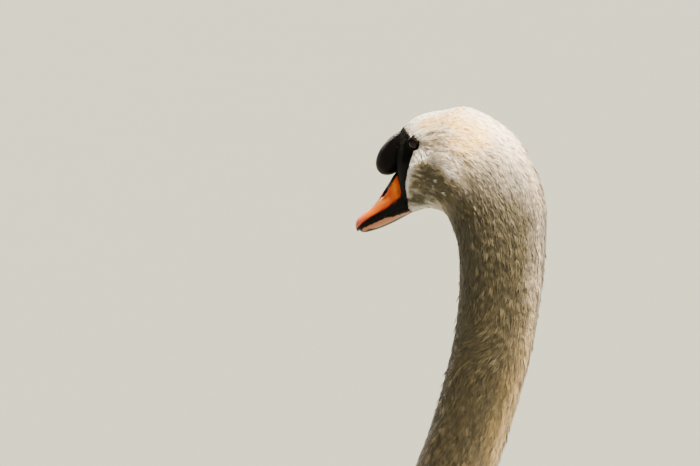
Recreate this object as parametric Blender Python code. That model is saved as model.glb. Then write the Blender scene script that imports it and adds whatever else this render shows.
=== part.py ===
"""An adult male mute swan, life size, resting on its belly with its neck in a gentle S, its bill dipped,
its wings folded over its back and its feet tucked under. The bird faces -Y, its left side is +X, and it
rests on z = 0. One run of cross sections goes from the root of the bill over the head, down the neck and
back through the trunk. Each length of it is a piece of its own, parted from the next by a thin cut."""

import math

import bmesh
import bpy
from mathutils import Vector
from mathutils.bvhtree import BVHTree

MM = 0.001
GAP = 0.4 * MM  # clearance between pieces that touch

# The head. Its own frame has its origin midway between the eyes, f forwards along the mouth line, u upwards.
HEAD_PITCH = math.radians(27)
EYES_MIDDLE = (-193.2 * MM, 765.4 * MM)
EYE_RADIUS = 7.5 * MM
EYE_OUT = 17.6 * MM
MOUTH_LINE = -51.5 * MM
BILL_ROOT_TOP = (20 * MM, 18 * MM)
BILL_ROOT_BOTTOM = (48 * MM, -58.5 * MM)
KNOB_CENTRE = (39 * MM, -1.5 * MM)
KNOB_HALF_LENGTH, KNOB_HALF_WIDTH, KNOB_HALF_HEIGHT = 26.3 * MM, 14.5 * MM, 17.2 * MM
KNOB_DROOP = math.radians(42)

# Rings along each length of the body, and points round each ring.
BODY_POINTS = 28
HEAD_RINGS, NECK_RINGS, TRUNK_RINGS = 15, 8, 24
BILL_POINTS = 16

BLACK = (0.012, 0.012, 0.013, 1)
ORANGE = (0.75, 0.19, 0.03, 1)
FLESH = (0.55, 0.27, 0.2, 1)
CREAM = (0.82, 0.74, 0.6, 1)
WHITE = (0.85, 0.83, 0.78, 1)
EYE_BROWN = (0.02, 0.011, 0.006, 1)
LEG_BLACK = (0.03, 0.03, 0.032, 1)


def material(name, colour, roughness):
    made = bpy.data.materials.new(name)
    made.use_nodes = True
    shader = made.node_tree.nodes["Principled BSDF"]
    shader.inputs["Base Color"].default_value = colour
    shader.inputs["Roughness"].default_value = roughness
    shader.inputs["Metallic"].default_value = 0
    return made


def smooth(rows, t):
    """The row at t, counted in rows, on a Catmull-Rom spline through all the rows."""
    i = min(int(t), len(rows) - 2)
    f = t - i
    a, b, c, d = (rows[min(max(k, 0), len(rows) - 1)] for k in range(i - 1, i + 3))
    return [
        0.5 * (2 * q + (r - p) * f + (2 * p - 5 * q + 4 * r - s) * f**2 + (3 * q - p - 3 * r + s) * f**3)
        for p, q, r, s in zip(a, b, c, d)
    ]


def power(value, exponent):
    return math.copysign(abs(value) ** exponent, value)


def closed_loft(name, rings, finish):
    """A piece with one closed surface, through rings of equally many points and a flat face at each end."""
    shape = bmesh.new()
    made = [[shape.verts.new(point) for point in ring] for ring in rings]
    count = len(rings[0])
    for first, second in zip(made, made[1:]):
        for k in range(count):
            shape.faces.new((first[k], first[(k + 1) % count], second[(k + 1) % count], second[k]))
    shape.faces.new(made[0])
    shape.faces.new(made[-1])
    bmesh.ops.recalc_face_normals(shape, faces=shape.faces)
    return finished(name, shape, finish)


def finished(name, shape, finish):
    bmesh.ops.triangulate(shape, faces=shape.faces)
    mesh = bpy.data.meshes.new(name)
    shape.to_mesh(mesh)
    shape.free()
    mesh.materials.append(finish)
    mesh.shade_smooth()
    mesh.set_sharp_from_angle(angle=math.radians(50))
    piece = bpy.data.objects.new(name, mesh)
    bpy.context.scene.collection.objects.link(piece)
    return piece


def clear_of(piece, *neighbours):
    """Cuts away what of a piece reaches into its neighbours, and leaves the clearance between them."""
    for neighbour in neighbours:
        swollen = neighbour.data.copy()
        for vertex, normal in zip(swollen.vertices, [v.normal.copy() for v in neighbour.data.vertices]):
            vertex.co += normal * GAP
        cutter = bpy.data.objects.new(f"room_for_{neighbour.name}", swollen)
        bpy.context.scene.collection.objects.link(cutter)
        cutter.hide_render = True
        cutter.display_type = "WIRE"
        cut = piece.modifiers.new(f"clear of {neighbour.name}", "BOOLEAN")
        cut.operation = "DIFFERENCE"
        cut.solver = "EXACT"
        cut.object = cutter


def of_head(f, u):
    """(y, z) of a point of the head's own frame."""
    y, z = EYES_MIDDLE
    return (
        y - f * math.cos(HEAD_PITCH) - u * math.sin(HEAD_PITCH),
        z - f * math.sin(HEAD_PITCH) + u * math.cos(HEAD_PITCH),
    )


# ---- the run of cross sections ----
# Each row: the point on the back's outline, the point on the throat's or belly's outline, the half width,
# how far the widest line sits towards the belly, and the roundness, 1 for an ellipse and less for a
# squarer section.


def head_rows():
    rows = [
        (*BILL_ROOT_TOP, *BILL_ROOT_BOTTOM, 17.5 * MM, 0.1, 1.0),
        (9 * MM, 22 * MM, 38 * MM, -59.5 * MM, 23.5 * MM, 0.13, 0.95),
        (-8 * MM, 23.5 * MM, 26 * MM, -61.5 * MM, 28.5 * MM, 0.13, 0.95),
        (-32 * MM, 18.5 * MM, 14 * MM, -68 * MM, 33 * MM, 0.1, 0.97),
        (-60 * MM, 9.5 * MM, 5 * MM, -77 * MM, 37 * MM, 0.06, 1.0),
    ]
    return [(*of_head(*row[:2]), *of_head(*row[2:4]), *row[4:]) for row in rows]


def neck_row(y, z, radius, lean):
    """A round section of the neck about (y, z). The neck there leans forwards, going down, by that many degrees."""
    along, across = math.cos(math.radians(lean)), math.sin(math.radians(lean))
    return (
        (y + radius * along) * MM,
        (z - radius * across) * MM,
        (y - radius * along) * MM,
        (z + radius * across) * MM,
        radius * MM,
        0.0,
        1.0,
    )


NAPE_ROWS = [
    (-97 * MM, 778 * MM, -154.5 * MM, 679 * MM, 38 * MM, 0.02, 1.0),
    (-68 * MM, 728.5 * MM, -151 * MM, 666 * MM, 40 * MM, 0.0, 1.0),
]
NECK_ROWS = [
    neck_row(-106.5, 672, 41.3, -6),
    neck_row(-109, 618, 38, 6),
    neck_row(-118.8, 568, 38, 12),
    neck_row(-132.7, 518, 37.2, 16),
    neck_row(-149.5, 468, 37.3, 19),
    neck_row(-168, 415, 40.5, 19),
    neck_row(-184, 360, 46.5, 13),
]
BREAST_ROWS = [
    (-137 * MM, 312 * MM, -258 * MM, 318 * MM, 62 * MM, 0.0, 1.0),
    (-112 * MM, 287 * MM, -283 * MM, 245 * MM, 92 * MM, 0.02, 0.97),
    (-86 * MM, 284 * MM, -287 * MM, 155 * MM, 127 * MM, 0.05, 0.94),
    (-50 * MM, 292 * MM, -258 * MM, 78 * MM, 152 * MM, 0.08, 0.92),
]
BODY_ROWS = [
    (0 * MM, 303 * MM, -190 * MM, 22 * MM, 167 * MM, 0.08, 0.92),
    (60 * MM, 309 * MM, -80 * MM, -8 * MM, 173 * MM, 0.08, 0.92),
    (130 * MM, 308 * MM, 50 * MM, -14 * MM, 170 * MM, 0.06, 0.92),
    (205 * MM, 298 * MM, 165 * MM, -4 * MM, 152 * MM, 0.04, 0.94),
    (275 * MM, 280 * MM, 262 * MM, 36 * MM, 121 * MM, 0.02, 0.96),
    (335 * MM, 259 * MM, 340 * MM, 92 * MM, 84 * MM, 0.0, 1.0),
    (382 * MM, 244 * MM, 396 * MM, 148 * MM, 50 * MM, 0.0, 1.0),
    (408 * MM, 226 * MM, 418 * MM, 180 * MM, 24 * MM, 0.0, 1.0),
]


def section(row):
    """One ring of the run: from the back's outline round the left side to the belly's and up the right side."""
    back, belly = Vector((0, *row[:2])), Vector((0, *row[2:4]))
    half_width, low, roundness = row[4:]
    middle, reach = (back + belly) / 2, (back - belly) / 2
    ring = []
    for k in range(BODY_POINTS):
        turn = 2 * math.pi * k / BODY_POINTS
        up = power(math.cos(turn), roundness)
        out = power(math.sin(turn), roundness) * half_width * (1 - low * math.cos(turn))
        point = middle + reach * up + Vector((out, 0, 0))
        point.z = max(point.z, 0)
        ring.append(point)
    return ring


def lengths_of_body():
    """(name, rows from, rows to, rings, material) of each length, counted in rows of the whole run."""
    head, nape, neck = len(head_rows()), len(NAPE_ROWS), len(NECK_ROWS)
    head_end = head - 1 + nape - 0.5
    neck_start, breast_start = head + nape - 1, head + nape + neck - 1
    thirds = [neck_start + (breast_start - neck_start) * k / 3 for k in (1, 2)]
    run_end = head + nape + neck + len(BREAST_ROWS) + len(BODY_ROWS) - 1
    return [
        ("head", 0, head_end, HEAD_RINGS, CREAM),
        ("neck_upper", head_end, thirds[0], NECK_RINGS, CREAM),
        ("neck_middle", thirds[0], thirds[1], NECK_RINGS, CREAM),
        ("neck_lower", thirds[1], breast_start + 0.6, NECK_RINGS, WHITE),
        ("trunk", breast_start + 0.6, run_end, TRUNK_RINGS, WHITE),
    ]


def body_lengths():
    run = head_rows() + NAPE_ROWS + NECK_ROWS + BREAST_ROWS + BODY_ROWS
    made = {}
    for name, start, end, count, colour in lengths_of_body():
        rings = [section(smooth(run, start + (end - start) * k / (count - 1))) for k in range(count)]
        for edge, inner in ((0, 1), (-1, -2)):
            middles = [sum(rings[i], Vector()) / BODY_POINTS for i in (edge, inner)]
            step = (middles[1] - middles[0]).normalized() * GAP / 2
            rings[edge] = [point + step for point in rings[edge]]
        made[name] = closed_loft(name, rings, material(name, colour, 0.8))
    return made


# ---- bill, knob and eyes ----


# Rows from root to tip: f at the mouth line, how much of the root's slant is left, the half width, the
# height above or depth below the mouth line, and the roundness of the section.
UPPER_BILL_ROWS = [
    (46 * MM, 1.0, 17.3 * MM, 31 * MM, 0.85),
    (60 * MM, 0.5, 16.4 * MM, 28 * MM, 0.95),
    (75 * MM, 0.1, 15.2 * MM, 20 * MM, 0.9),
    (89 * MM, 0.0, 14.6 * MM, 15.2 * MM, 0.8),
    (100.5 * MM, 0.0, 13.0 * MM, 11.2 * MM, 0.75),
    (108 * MM, 0.0, 8.6 * MM, 7.4 * MM, 0.75),
    (111 * MM, 0.0, 3.2 * MM, 3.8 * MM, 0.9),
]
LOWER_BILL_ROWS = [
    (47.5 * MM, 1.0, 15.6 * MM, 6.8 * MM, 0.8),
    (70 * MM, 0.3, 13.9 * MM, 8 * MM, 0.8),
    (88 * MM, 0.0, 12.9 * MM, 7.8 * MM, 0.8),
    (100 * MM, 0.0, 10.8 * MM, 6 * MM, 0.8),
    (106 * MM, 0.0, 5.6 * MM, 3.5 * MM, 0.9),
]
BILL_RINGS = 13
NAIL_HOOK, HOOK_LENGTH = 1.5 * MM, 20 * MM
SLANT = (BILL_ROOT_BOTTOM[0] - BILL_ROOT_TOP[0]) / (BILL_ROOT_TOP[1] - BILL_ROOT_BOTTOM[1])


def bill_half(name, rows, side, finish):
    """The upper half of the bill for side 1, the lower for side -1: a flat along the mouth line under or over
    a round outline. The tip of the upper one hooks down a little."""
    rings = []
    for k in range(BILL_RINGS):
        f, slanted, half_width, height, roundness = smooth(rows, (len(rows) - 1) * k / (BILL_RINGS - 1))
        to_tip = max(0, (f - UPPER_BILL_ROWS[-1][0]) / HOOK_LENGTH + 1)
        floor = MOUTH_LINE + side * GAP / 2 - NAIL_HOOK * to_tip**2
        half = BILL_POINTS // 2
        turns = [math.pi * i / half for i in range(half + 1)]
        arch = [
            (half_width * power(math.cos(turn), roundness), side * height * math.sin(turn) ** roundness)
            for turn in turns
        ]
        flat = [(half_width * (2 * i / (half - 1) - 1), 0) for i in range(1, half - 1)]
        rings.append([])
        for x, up in arch + flat:
            rings[-1].append(Vector((x, *of_head(f - slanted * SLANT * up, floor + up))))
    return closed_loft(name, rings, finish)


def knob(head, upper):
    """The swollen base of the bill: an egg that droops over the ridge, cut to sit on the bill and the brow."""
    shape = bmesh.new()
    bmesh.ops.create_uvsphere(shape, u_segments=18, v_segments=10, radius=1)
    for vertex in shape.verts:
        across, along, up = vertex.co
        narrow = 1 + 0.12 * along
        along, up = along * KNOB_HALF_LENGTH, up * KNOB_HALF_HEIGHT * narrow
        f = KNOB_CENTRE[0] + along * math.cos(KNOB_DROOP) + up * math.sin(KNOB_DROOP)
        u = KNOB_CENTRE[1] - along * math.sin(KNOB_DROOP) + up * math.cos(KNOB_DROOP)
        vertex.co = (across * KNOB_HALF_WIDTH * narrow, *of_head(f, u))
    bmesh.ops.recalc_face_normals(shape, faces=shape.faces)
    piece = finished("knob", shape, material("knob", BLACK, 0.55))
    clear_of(piece, head, upper)


def eye(name, side, head):
    """An eyeball in its socket. The socket is a rounder copy of it, cut out of the head."""
    shape = bmesh.new()
    bmesh.ops.create_uvsphere(shape, u_segments=14, v_segments=8, radius=EYE_RADIUS)
    centre = Vector((side * EYE_OUT, *of_head(0, 0)))
    bmesh.ops.translate(shape, verts=shape.verts, vec=centre)
    ball = finished(name, shape, material(name, EYE_BROWN, 0.1))
    clear_of(head, ball)


def head_pieces(head):
    upper = bill_half("bill_upper", UPPER_BILL_ROWS, 1, material("bill_upper", ORANGE, 0.4))
    bill_half("bill_lower", LOWER_BILL_ROWS, -1, material("bill_lower", FLESH, 0.45))
    knob(head, upper)
    for name, side in (("eye_left", 1), ("eye_right", -1)):
        eye(name, side, head)


# ---- wings, tail and feet ----
# Rows from the wrist at the front to the tips of the long feathers: y, the upper edge (x, z), the lower edge
# (x, z), moved out to the flank where that is farther, and how far the outside bulges past the line between.
WING_ROWS = [
    (-214 * MM, 118 * MM, 224 * MM, 122 * MM, 172 * MM, 3 * MM),
    (-188 * MM, 100 * MM, 268 * MM, 144 * MM, 142 * MM, 20 * MM),
    (-125 * MM, 62 * MM, 308 * MM, 164 * MM, 118 * MM, 38 * MM),
    (-40 * MM, 24 * MM, 336 * MM, 172 * MM, 112 * MM, 50 * MM),
    (60 * MM, 9 * MM, 348 * MM, 172 * MM, 120 * MM, 54 * MM),
    (160 * MM, 7 * MM, 347 * MM, 156 * MM, 142 * MM, 48 * MM),
    (250 * MM, 7 * MM, 337 * MM, 122 * MM, 174 * MM, 36 * MM),
    (325 * MM, 8 * MM, 323 * MM, 86 * MM, 212 * MM, 24 * MM),
    (385 * MM, 12 * MM, 309 * MM, 57 * MM, 250 * MM, 13 * MM),
    (430 * MM, 22 * MM, 296 * MM, 33 * MM, 279 * MM, 3 * MM),
]
WING_RINGS, WING_POINTS = 17, 10
WING_PARTING = 3 * MM  # half the least room between the two wings along the back
WING_EDGE = 5 * MM  # how thick the wing is where it lies on the flank
WING_DEPTH = 60 * MM  # how far its inside would reach, were the trunk not there
FAR = 1.0


def wing(name, side, trunk, neck):
    """A folded wing: a shell bowed from its upper edge to the flank, cut to lie on the trunk."""
    flank = BVHTree.FromPolygons(
        [vertex.co for vertex in trunk.data.vertices], [face.vertices for face in trunk.data.polygons]
    )
    rings = []
    for k in range(WING_RINGS):
        y, top_x, top_z, low_x, low_z, bulge = smooth(WING_ROWS, (len(WING_ROWS) - 1) * k / (WING_RINGS - 1))
        hit = flank.ray_cast(Vector((FAR, y, low_z)), Vector((-1, 0, 0)))[0]
        top = Vector((top_x, top_z))
        low = Vector((max(low_x, hit.x + WING_EDGE if hit else 0), low_z))
        outward = Vector((top.y - low.y, low.x - top.x)).normalized()
        depth = min(WING_DEPTH, 0.6 * (top - low).length)
        outside, inside = [], []
        for i in range(WING_POINTS + 1):
            across = i / WING_POINTS
            bow = math.sin(math.pi * across) ** 0.8
            x, z = top.lerp(low, across) + outward * bulge * bow
            near, normal, _, _ = flank.find_nearest(Vector((x, y, z)))
            short = WING_EDGE - (Vector((x, y, z)) - near).dot(normal)
            point = Vector((x, z)) + Vector((normal.x, normal.z)) * max(0, short)
            outside.append(point)
            inside.append(point - outward * depth * (0.25 + 0.75 * bow))
        rings.append([Vector((side * max(x, WING_PARTING), y, z)) for x, z in outside + inside[::-1]])
    clear_of(closed_loft(name, rings, material(name, WHITE, 0.75)), trunk, neck)


# Rows from root to tip: y, z, the half width and the half thickness.
TAIL_ROWS = [
    (345 * MM, 206 * MM, 52 * MM, 22 * MM),
    (400 * MM, 213 * MM, 62 * MM, 15 * MM),
    (440 * MM, 219 * MM, 54 * MM, 8 * MM),
    (475 * MM, 226 * MM, 37 * MM, 4.5 * MM),
    (497 * MM, 231 * MM, 14 * MM, 2.5 * MM),
]
TAIL_RINGS, TAIL_POINTS = 8, 18
TAIL_DROOP = 0.3  # how far the sides hang below the middle, as a share of the half width


def tail(trunk):
    """The short pointed tail: a thin wedge with its sides hanging lower than its middle."""
    rings = []
    for k in range(TAIL_RINGS):
        y, z, half_width, half_thick = smooth(TAIL_ROWS, (len(TAIL_ROWS) - 1) * k / (TAIL_RINGS - 1))
        ring = []
        for i in range(TAIL_POINTS):
            turn = 2 * math.pi * i / TAIL_POINTS
            x = half_width * math.cos(turn)
            hang = TAIL_DROOP * x**2 / half_width
            ring.append(Vector((x, y, z + half_thick * math.sin(turn) - hang)))
        rings.append(ring)
    clear_of(closed_loft("tail", rings, material("tail", WHITE, 0.75)), trunk)


# The feet lie flat beside the keel, toes forward. Angles are from straight ahead, outwards positive.
HEEL = (112 * MM, 172 * MM)  # (x, y) where the toes part
TOE_ANGLES = [math.radians(a) for a in (-24, 3, 27)]
TOE_LENGTHS = [96 * MM, 132 * MM, 122 * MM]
TOE_HALF_WIDTH, TOE_HEIGHT, WEB_HEIGHT = 6 * MM, 11 * MM, 3 * MM
TOE_ROOT = 9 * MM
FOOT_STEPS, FOOT_FAN = 6, 18


def foot_reach(angle):
    """How far the foot reaches at this angle: out to a toe's tip, and less over the web between two toes."""
    reaches = []
    for toe, length in zip(TOE_ANGLES, TOE_LENGTHS):
        off = abs(angle - toe) / (TOE_ANGLES[1] - TOE_ANGLES[0])
        reaches.append(length * (1 - 0.75 * min(off, 0.5)) if off < 1 else 0)
    return max(reaches)


def foot(name, side):
    """A webbed foot: three toes as ridges on a web that is flat underneath."""
    spread = TOE_ANGLES[0] - math.radians(3), TOE_ANGLES[-1] + math.radians(3)
    shape = bmesh.new()
    top, under = [], []
    for i in range(FOOT_FAN + 1):
        angle = spread[0] + (spread[1] - spread[0]) * i / FOOT_FAN
        row = []
        for k in range(FOOT_STEPS + 1):
            out = TOE_ROOT + (foot_reach(angle) - TOE_ROOT) * k / FOOT_STEPS
            place = Vector((side * (HEEL[0] + out * math.sin(angle)), HEEL[1] - out * math.cos(angle), 0))
            off = min(abs(angle - toe) * out for toe in TOE_ANGLES)
            ridge = max(0, 1 - (off / TOE_HALF_WIDTH) ** 2) ** 0.5
            taper = 1 - 0.45 * k / FOOT_STEPS
            row.append((place, WEB_HEIGHT * taper + (TOE_HEIGHT * taper - WEB_HEIGHT * taper) * ridge))
        top.append([shape.verts.new(p + Vector((0, 0, h))) for p, h in row])
        under.append([shape.verts.new(p) for p, h in row])
    for i in range(FOOT_FAN):
        for k in range(FOOT_STEPS):
            for grid in (top, under):
                shape.faces.new((grid[i][k], grid[i + 1][k], grid[i + 1][k + 1], grid[i][k + 1]))
        for k in (0, FOOT_STEPS):
            shape.faces.new((top[i][k], top[i + 1][k], under[i + 1][k], under[i][k]))
    for i in (0, FOOT_FAN):
        for k in range(FOOT_STEPS):
            shape.faces.new((top[i][k], top[i][k + 1], under[i][k + 1], under[i][k]))
    bmesh.ops.recalc_face_normals(shape, faces=shape.faces)
    return finished(name, shape, material(name, LEG_BLACK, 0.6))


# Rows of the shank from the toes back to the hock and up under the flank: x, y, z and the radius.
SHANK_ROWS = [
    (112 * MM, 168 * MM, 9 * MM, 7.5 * MM),
    (112 * MM, 185 * MM, 9 * MM, 8.5 * MM),
    (110 * MM, 215 * MM, 13 * MM, 7 * MM),
    (106 * MM, 250 * MM, 24 * MM, 7.5 * MM),
    (103 * MM, 272 * MM, 36 * MM, 9.5 * MM),
    (98 * MM, 262 * MM, 62 * MM, 12 * MM),
]
SHANK_RINGS, SHANK_POINTS = 11, 10


def shank(name, side, foot_piece, trunk):
    """The scaled shank, folded back from the toes and up into the feathers of the flank."""
    track = [smooth(SHANK_ROWS, (len(SHANK_ROWS) - 1) * k / (SHANK_RINGS - 1)) for k in range(SHANK_RINGS)]
    middles = [Vector((side * row[0], row[1], row[2])) for row in track]
    rings = []
    for k, (middle, row) in enumerate(zip(middles, track)):
        along = (middles[min(k + 1, SHANK_RINGS - 1)] - middles[max(k - 1, 0)]).normalized()
        across = Vector((1, 0, 0)) - along * along.x
        across.normalize()
        up = along.cross(across)
        ring = []
        for i in range(SHANK_POINTS):
            turn = 2 * math.pi * i / SHANK_POINTS
            point = middle + (across * math.cos(turn) + up * math.sin(turn)) * row[3]
            point.z = max(point.z, 0)
            ring.append(point)
        rings.append(ring)
    clear_of(closed_loft(name, rings, material(name, LEG_BLACK, 0.6)), foot_piece, trunk)


def main():
    for leftover in list(bpy.data.objects):
        bpy.data.objects.remove(leftover)
    body = body_lengths()
    head_pieces(body["head"])
    tail(body["trunk"])
    for side, word in ((1, "left"), (-1, "right")):
        wing(f"wing_{word}", side, body["trunk"], body["neck_lower"])
        webbed = foot(f"foot_{word}", side)
        clear_of(webbed, body["trunk"])
        shank(f"leg_{word}", side, webbed, body["trunk"])


main()
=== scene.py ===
"""Dresses the solids of a life-size mute swan: one skin under a coat of feathers, wings and tail of vanes,
knob, bill, eyes, webbed feet, and a plain stage. The bird faces -Y, its left is +X, and +Z is up."""

import math

import bmesh
import bpy
import numpy as np
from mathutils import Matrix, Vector, kdtree, noise
from mathutils.bvhtree import BVHTree


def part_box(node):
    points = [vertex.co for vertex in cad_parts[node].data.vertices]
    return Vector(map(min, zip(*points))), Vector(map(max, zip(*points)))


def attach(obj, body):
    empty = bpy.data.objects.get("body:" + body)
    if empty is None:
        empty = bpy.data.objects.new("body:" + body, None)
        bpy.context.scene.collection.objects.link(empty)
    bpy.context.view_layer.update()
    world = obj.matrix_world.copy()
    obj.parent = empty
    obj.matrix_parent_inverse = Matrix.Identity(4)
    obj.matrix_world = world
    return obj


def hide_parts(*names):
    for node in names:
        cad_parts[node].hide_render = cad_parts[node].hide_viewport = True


bl_info = {
    "name": "Mute swan",
    "version": (1, 0, 0),
    "blender": (4, 5, 0),
    "location": "3D Viewport > Sidebar > Swan",
    "description": "Dresses the solids of a life-size mute swan in feathers, horn and skin",
    "category": "Object",
}

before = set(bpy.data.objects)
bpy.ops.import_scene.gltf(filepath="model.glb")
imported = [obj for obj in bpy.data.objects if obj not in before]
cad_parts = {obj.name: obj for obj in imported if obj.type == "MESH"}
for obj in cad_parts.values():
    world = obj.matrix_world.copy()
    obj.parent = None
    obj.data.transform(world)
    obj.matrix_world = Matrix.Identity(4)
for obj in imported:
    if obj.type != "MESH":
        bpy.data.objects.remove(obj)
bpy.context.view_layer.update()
MM = 0.001
FLESH = ("head", "neck_upper", "neck_middle", "neck_lower", "trunk")
FLOOR_LEVEL = 0.3 * MM  # nothing in the scene lies lower than this


def linear(text):
    """A colour written as sRGB hex, as linear red, green, blue and alpha."""
    parts = [int(text[i : i + 2], 16) / 255 for i in (1, 3, 5)]
    return (*(c / 12.92 if c <= 0.04045 else ((c + 0.055) / 1.055) ** 2.4 for c in parts), 1.0)


def colour(name, text, description):
    """A property for a colour, given as sRGB hex."""
    return bpy.props.FloatVectorProperty(
        name=name, description=description, subtype="COLOR", size=4, min=0, max=1, default=linear(text)
    )


def length(name, size, description):
    return bpy.props.FloatProperty(
        name=name, description=description, default=size, min=0, soft_max=0.5, unit="LENGTH", precision=4
    )


def number(name, value, low, high, description):
    return bpy.props.FloatProperty(name=name, description=description, default=value, min=low, max=high)


def bearing(name, degrees, description):
    """A property for an angle, given in degrees."""
    return bpy.props.FloatProperty(
        name=name, description=description, default=math.radians(degrees), subtype="ANGLE"
    )


# ---- sizes and colours that a user would change ----


class SwanPlumage(bpy.types.PropertyGroup):
    white: colour("White", "#F3F1EC", "Clean feathers of the body and wings")
    cream: colour("Cream", "#F7E7CB", "Feathers of the crown and the back of the neck")
    golden: colour("Golden", "#EEC67C", "Iron stain from feeding in mud, over the crown and behind the eye")
    # Tan and olive are the neck's and cheek's stain, darkened further as painted shade down the side and
    # front of the neck and on the cheek.
    tan: colour("Tan", "#87713F", "Stained and wet feathers down the side of the neck")
    olive: colour("Olive", "#443B18", "Darkest stain, down the front of the neck and on the cheek")
    feather_length: number("Feather length", 1, 0.5, 2, "Length of each feather of the coat, against its own")
    feather_width: number("Feather width", 1, 0.5, 2, "Width of each feather of the coat, against its own")
    overlap: number("Overlap", 3.4, 1, 8, "How many feathers lie over each other")


class SwanBill(bpy.types.PropertyGroup):
    orange: colour("Orange", "#BE3E00", "Horn of the upper half of the bill")
    # Pink is the paler horn towards the tip, darkened in part as painted shade, where the tip lies in shade.
    pink: colour("Pink", "#BE5C50", "Paler horn towards the tip")
    flesh: colour("Flesh", "#AA7257", "Horn of the lower half of the bill")
    black: colour("Black", "#050404", "Knob, bare skin before the eye, cutting edges, nostrils and nail")
    knob_width: length("Knob width", 28.2 * MM, "The knob from side to side")
    knob_length: length("Knob length", 55.4 * MM, "The knob from its top to where it hangs over the bill")
    knob_depth: length("Knob depth", 27 * MM, "The knob from the bill to its front")


class SwanFeet(bpy.types.PropertyGroup):
    skin: colour("Skin", "#2B2B2D", "Scaled skin of the legs and feet")
    web: colour("Web", "#37363A", "Thinner skin between the toes")
    claw: colour("Claw", "#17151A", "Claws")
    claw_length: length("Claw length", 13 * MM, "How much of each toe is claw")


class SwanStage(bpy.types.PropertyGroup):
    floor: colour("Floor", "#5F625C", "Plain matt floor")
    turn: bearing("Turn", 122, "Which way the camera looks from")
    height: bearing("Height", 12, "How far above level it looks from")
    distance: length("Distance", 5.54, "From the camera to the point that it aims at")
    lens: number("Lens", 300, 20, 900, "Focal length in millimetres")


def paints(group, *keys):
    """Colours of one of the groups, each as linear red, green and blue."""
    prefs = getattr(bpy.context.scene, group)
    return [np.array(getattr(prefs, key))[:3] for key in keys]


# ---- small tools ----


MATH, VECTOR_MATH = "ShaderNodeMath", "ShaderNodeVectorMath"


def feed(node, inputs):
    """Gives each input its value, or links it to a socket or to the first output of a node."""
    for socket, source in inputs.items():
        if isinstance(source, bpy.types.Node):
            source = source.outputs[0]
        if isinstance(source, bpy.types.NodeSocket):
            node.id_data.links.new(source, node.inputs[socket])
        else:
            node.inputs[socket].default_value = source


def add(tree, kind, inputs=None, **settings):
    """Adds a node with its settings and with what feeds its inputs."""
    node = tree.nodes.new(kind)
    for key, value in settings.items():
        setattr(node, key, value)
    feed(node, inputs or {})
    return node


def new_material(name, inputs):
    """A material, its node tree, and its shader with those inputs set."""
    made = bpy.data.materials.new(name)
    made.use_nodes = True
    shader = made.node_tree.nodes["Principled BSDF"]
    feed(shader, inputs)
    return made, made.node_tree, shader


def settled(name, mesh):
    """An object in the scene for a mesh, with none of its points below the floor."""
    places = np.empty(len(mesh.vertices) * 3, np.float32)
    mesh.vertices.foreach_get("co", places)
    places[2::3] = np.maximum(places[2::3], FLOOR_LEVEL)
    mesh.vertices.foreach_set("co", places)
    piece = bpy.data.objects.new(name, mesh)
    bpy.context.scene.collection.objects.link(piece)
    return piece


def new_piece(name, points, faces, materials, smooth=True):
    """A mesh object in the scene, at the origin, from arrays of points and of faces."""
    mesh = bpy.data.meshes.new(name)
    mesh.from_pydata([tuple(p) for p in points], [], [tuple(int(v) for v in f) for f in faces])
    for one in materials:
        mesh.materials.append(one)
    if smooth:
        mesh.shade_smooth()
    return settled(name, mesh)


def face_outwards(piece):
    """Turns the faces of a closed piece outwards."""
    shape = bmesh.new()
    shape.from_mesh(piece.data)
    bmesh.ops.recalc_face_normals(shape, faces=shape.faces)
    shape.to_mesh(piece.data)
    shape.free()


def set_colours(piece, values):
    """Stores one linear colour for each point of the mesh."""
    values = np.asarray(values, np.float32)
    rgba = np.ones((len(values), 4), np.float32)
    rgba[:, :3] = values[:, :3]
    made = piece.data.color_attributes.new("tint", "FLOAT_COLOR", "POINT")
    made.data.foreach_set("color", rgba.ravel())


def set_numbers(piece, name, values, kind="FLOAT", key="value"):
    """Stores one number, or one vector, for each point of the mesh."""
    made = piece.data.attributes.new(name, kind, "POINT")
    made.data.foreach_set(key, np.asarray(values, np.float32).ravel())


def corners_of(piece):
    """The number of the point at each corner of the mesh's faces."""
    return np.array([loop.vertex_index for loop in piece.data.loops])


def set_map(piece, name, values):
    """Stores a UV map, with one place for each corner."""
    layer = piece.data.uv_layers.new(name=name)
    layer.data.foreach_set("uv", values.astype(np.float32).ravel())


def grid_faces(rows, columns, wrap, first=0):
    """Quads over a grid of points, in rows. With wrap, the last column joins the first."""
    i, j = np.meshgrid(np.arange(rows - 1), np.arange(columns if wrap else columns - 1), indexing="ij")
    k = (j + 1) % columns
    quads = np.stack([i * columns + j, (i + 1) * columns + j, (i + 1) * columns + k, i * columns + k], -1)
    return (quads + first).reshape(-1, 4)


def blend(low, high, value):
    """0 below low, 1 above high, and a smooth step between."""
    x = np.clip((np.asarray(value, float) - low) / (high - low), 0, 1)
    return x * x * (3 - 2 * x)


def hump(x):
    """1 where x is 0, and falling away smoothly past -1 and 1."""
    return np.exp(-(x**2))


def read_line(table, x):
    """The height at x of a line through the table's pairs."""
    return np.interp(x, *np.array(table).T)


def spot(f, u, f0, u0, along, across):
    """1 in the middle of an oval spot, and falling away smoothly past its reach along and across."""
    return np.exp(-(((f - f0) / along) ** 2) - ((u - u0) / across) ** 2)


def over(base, top, amount):
    """One colour laid over another, nothing of it at 0 and all of it at 1."""
    return base + (top - base) * np.clip(amount, 0, 1)[..., None]


def full_turn(count):
    """Angles spaced evenly round a circle."""
    return np.linspace(0, 2 * math.pi, count, endpoint=False)


def unit(vectors):
    """The vectors with a length of 1 each."""
    return vectors / np.maximum(np.linalg.norm(vectors, axis=-1, keepdims=True), 1e-12)


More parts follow.
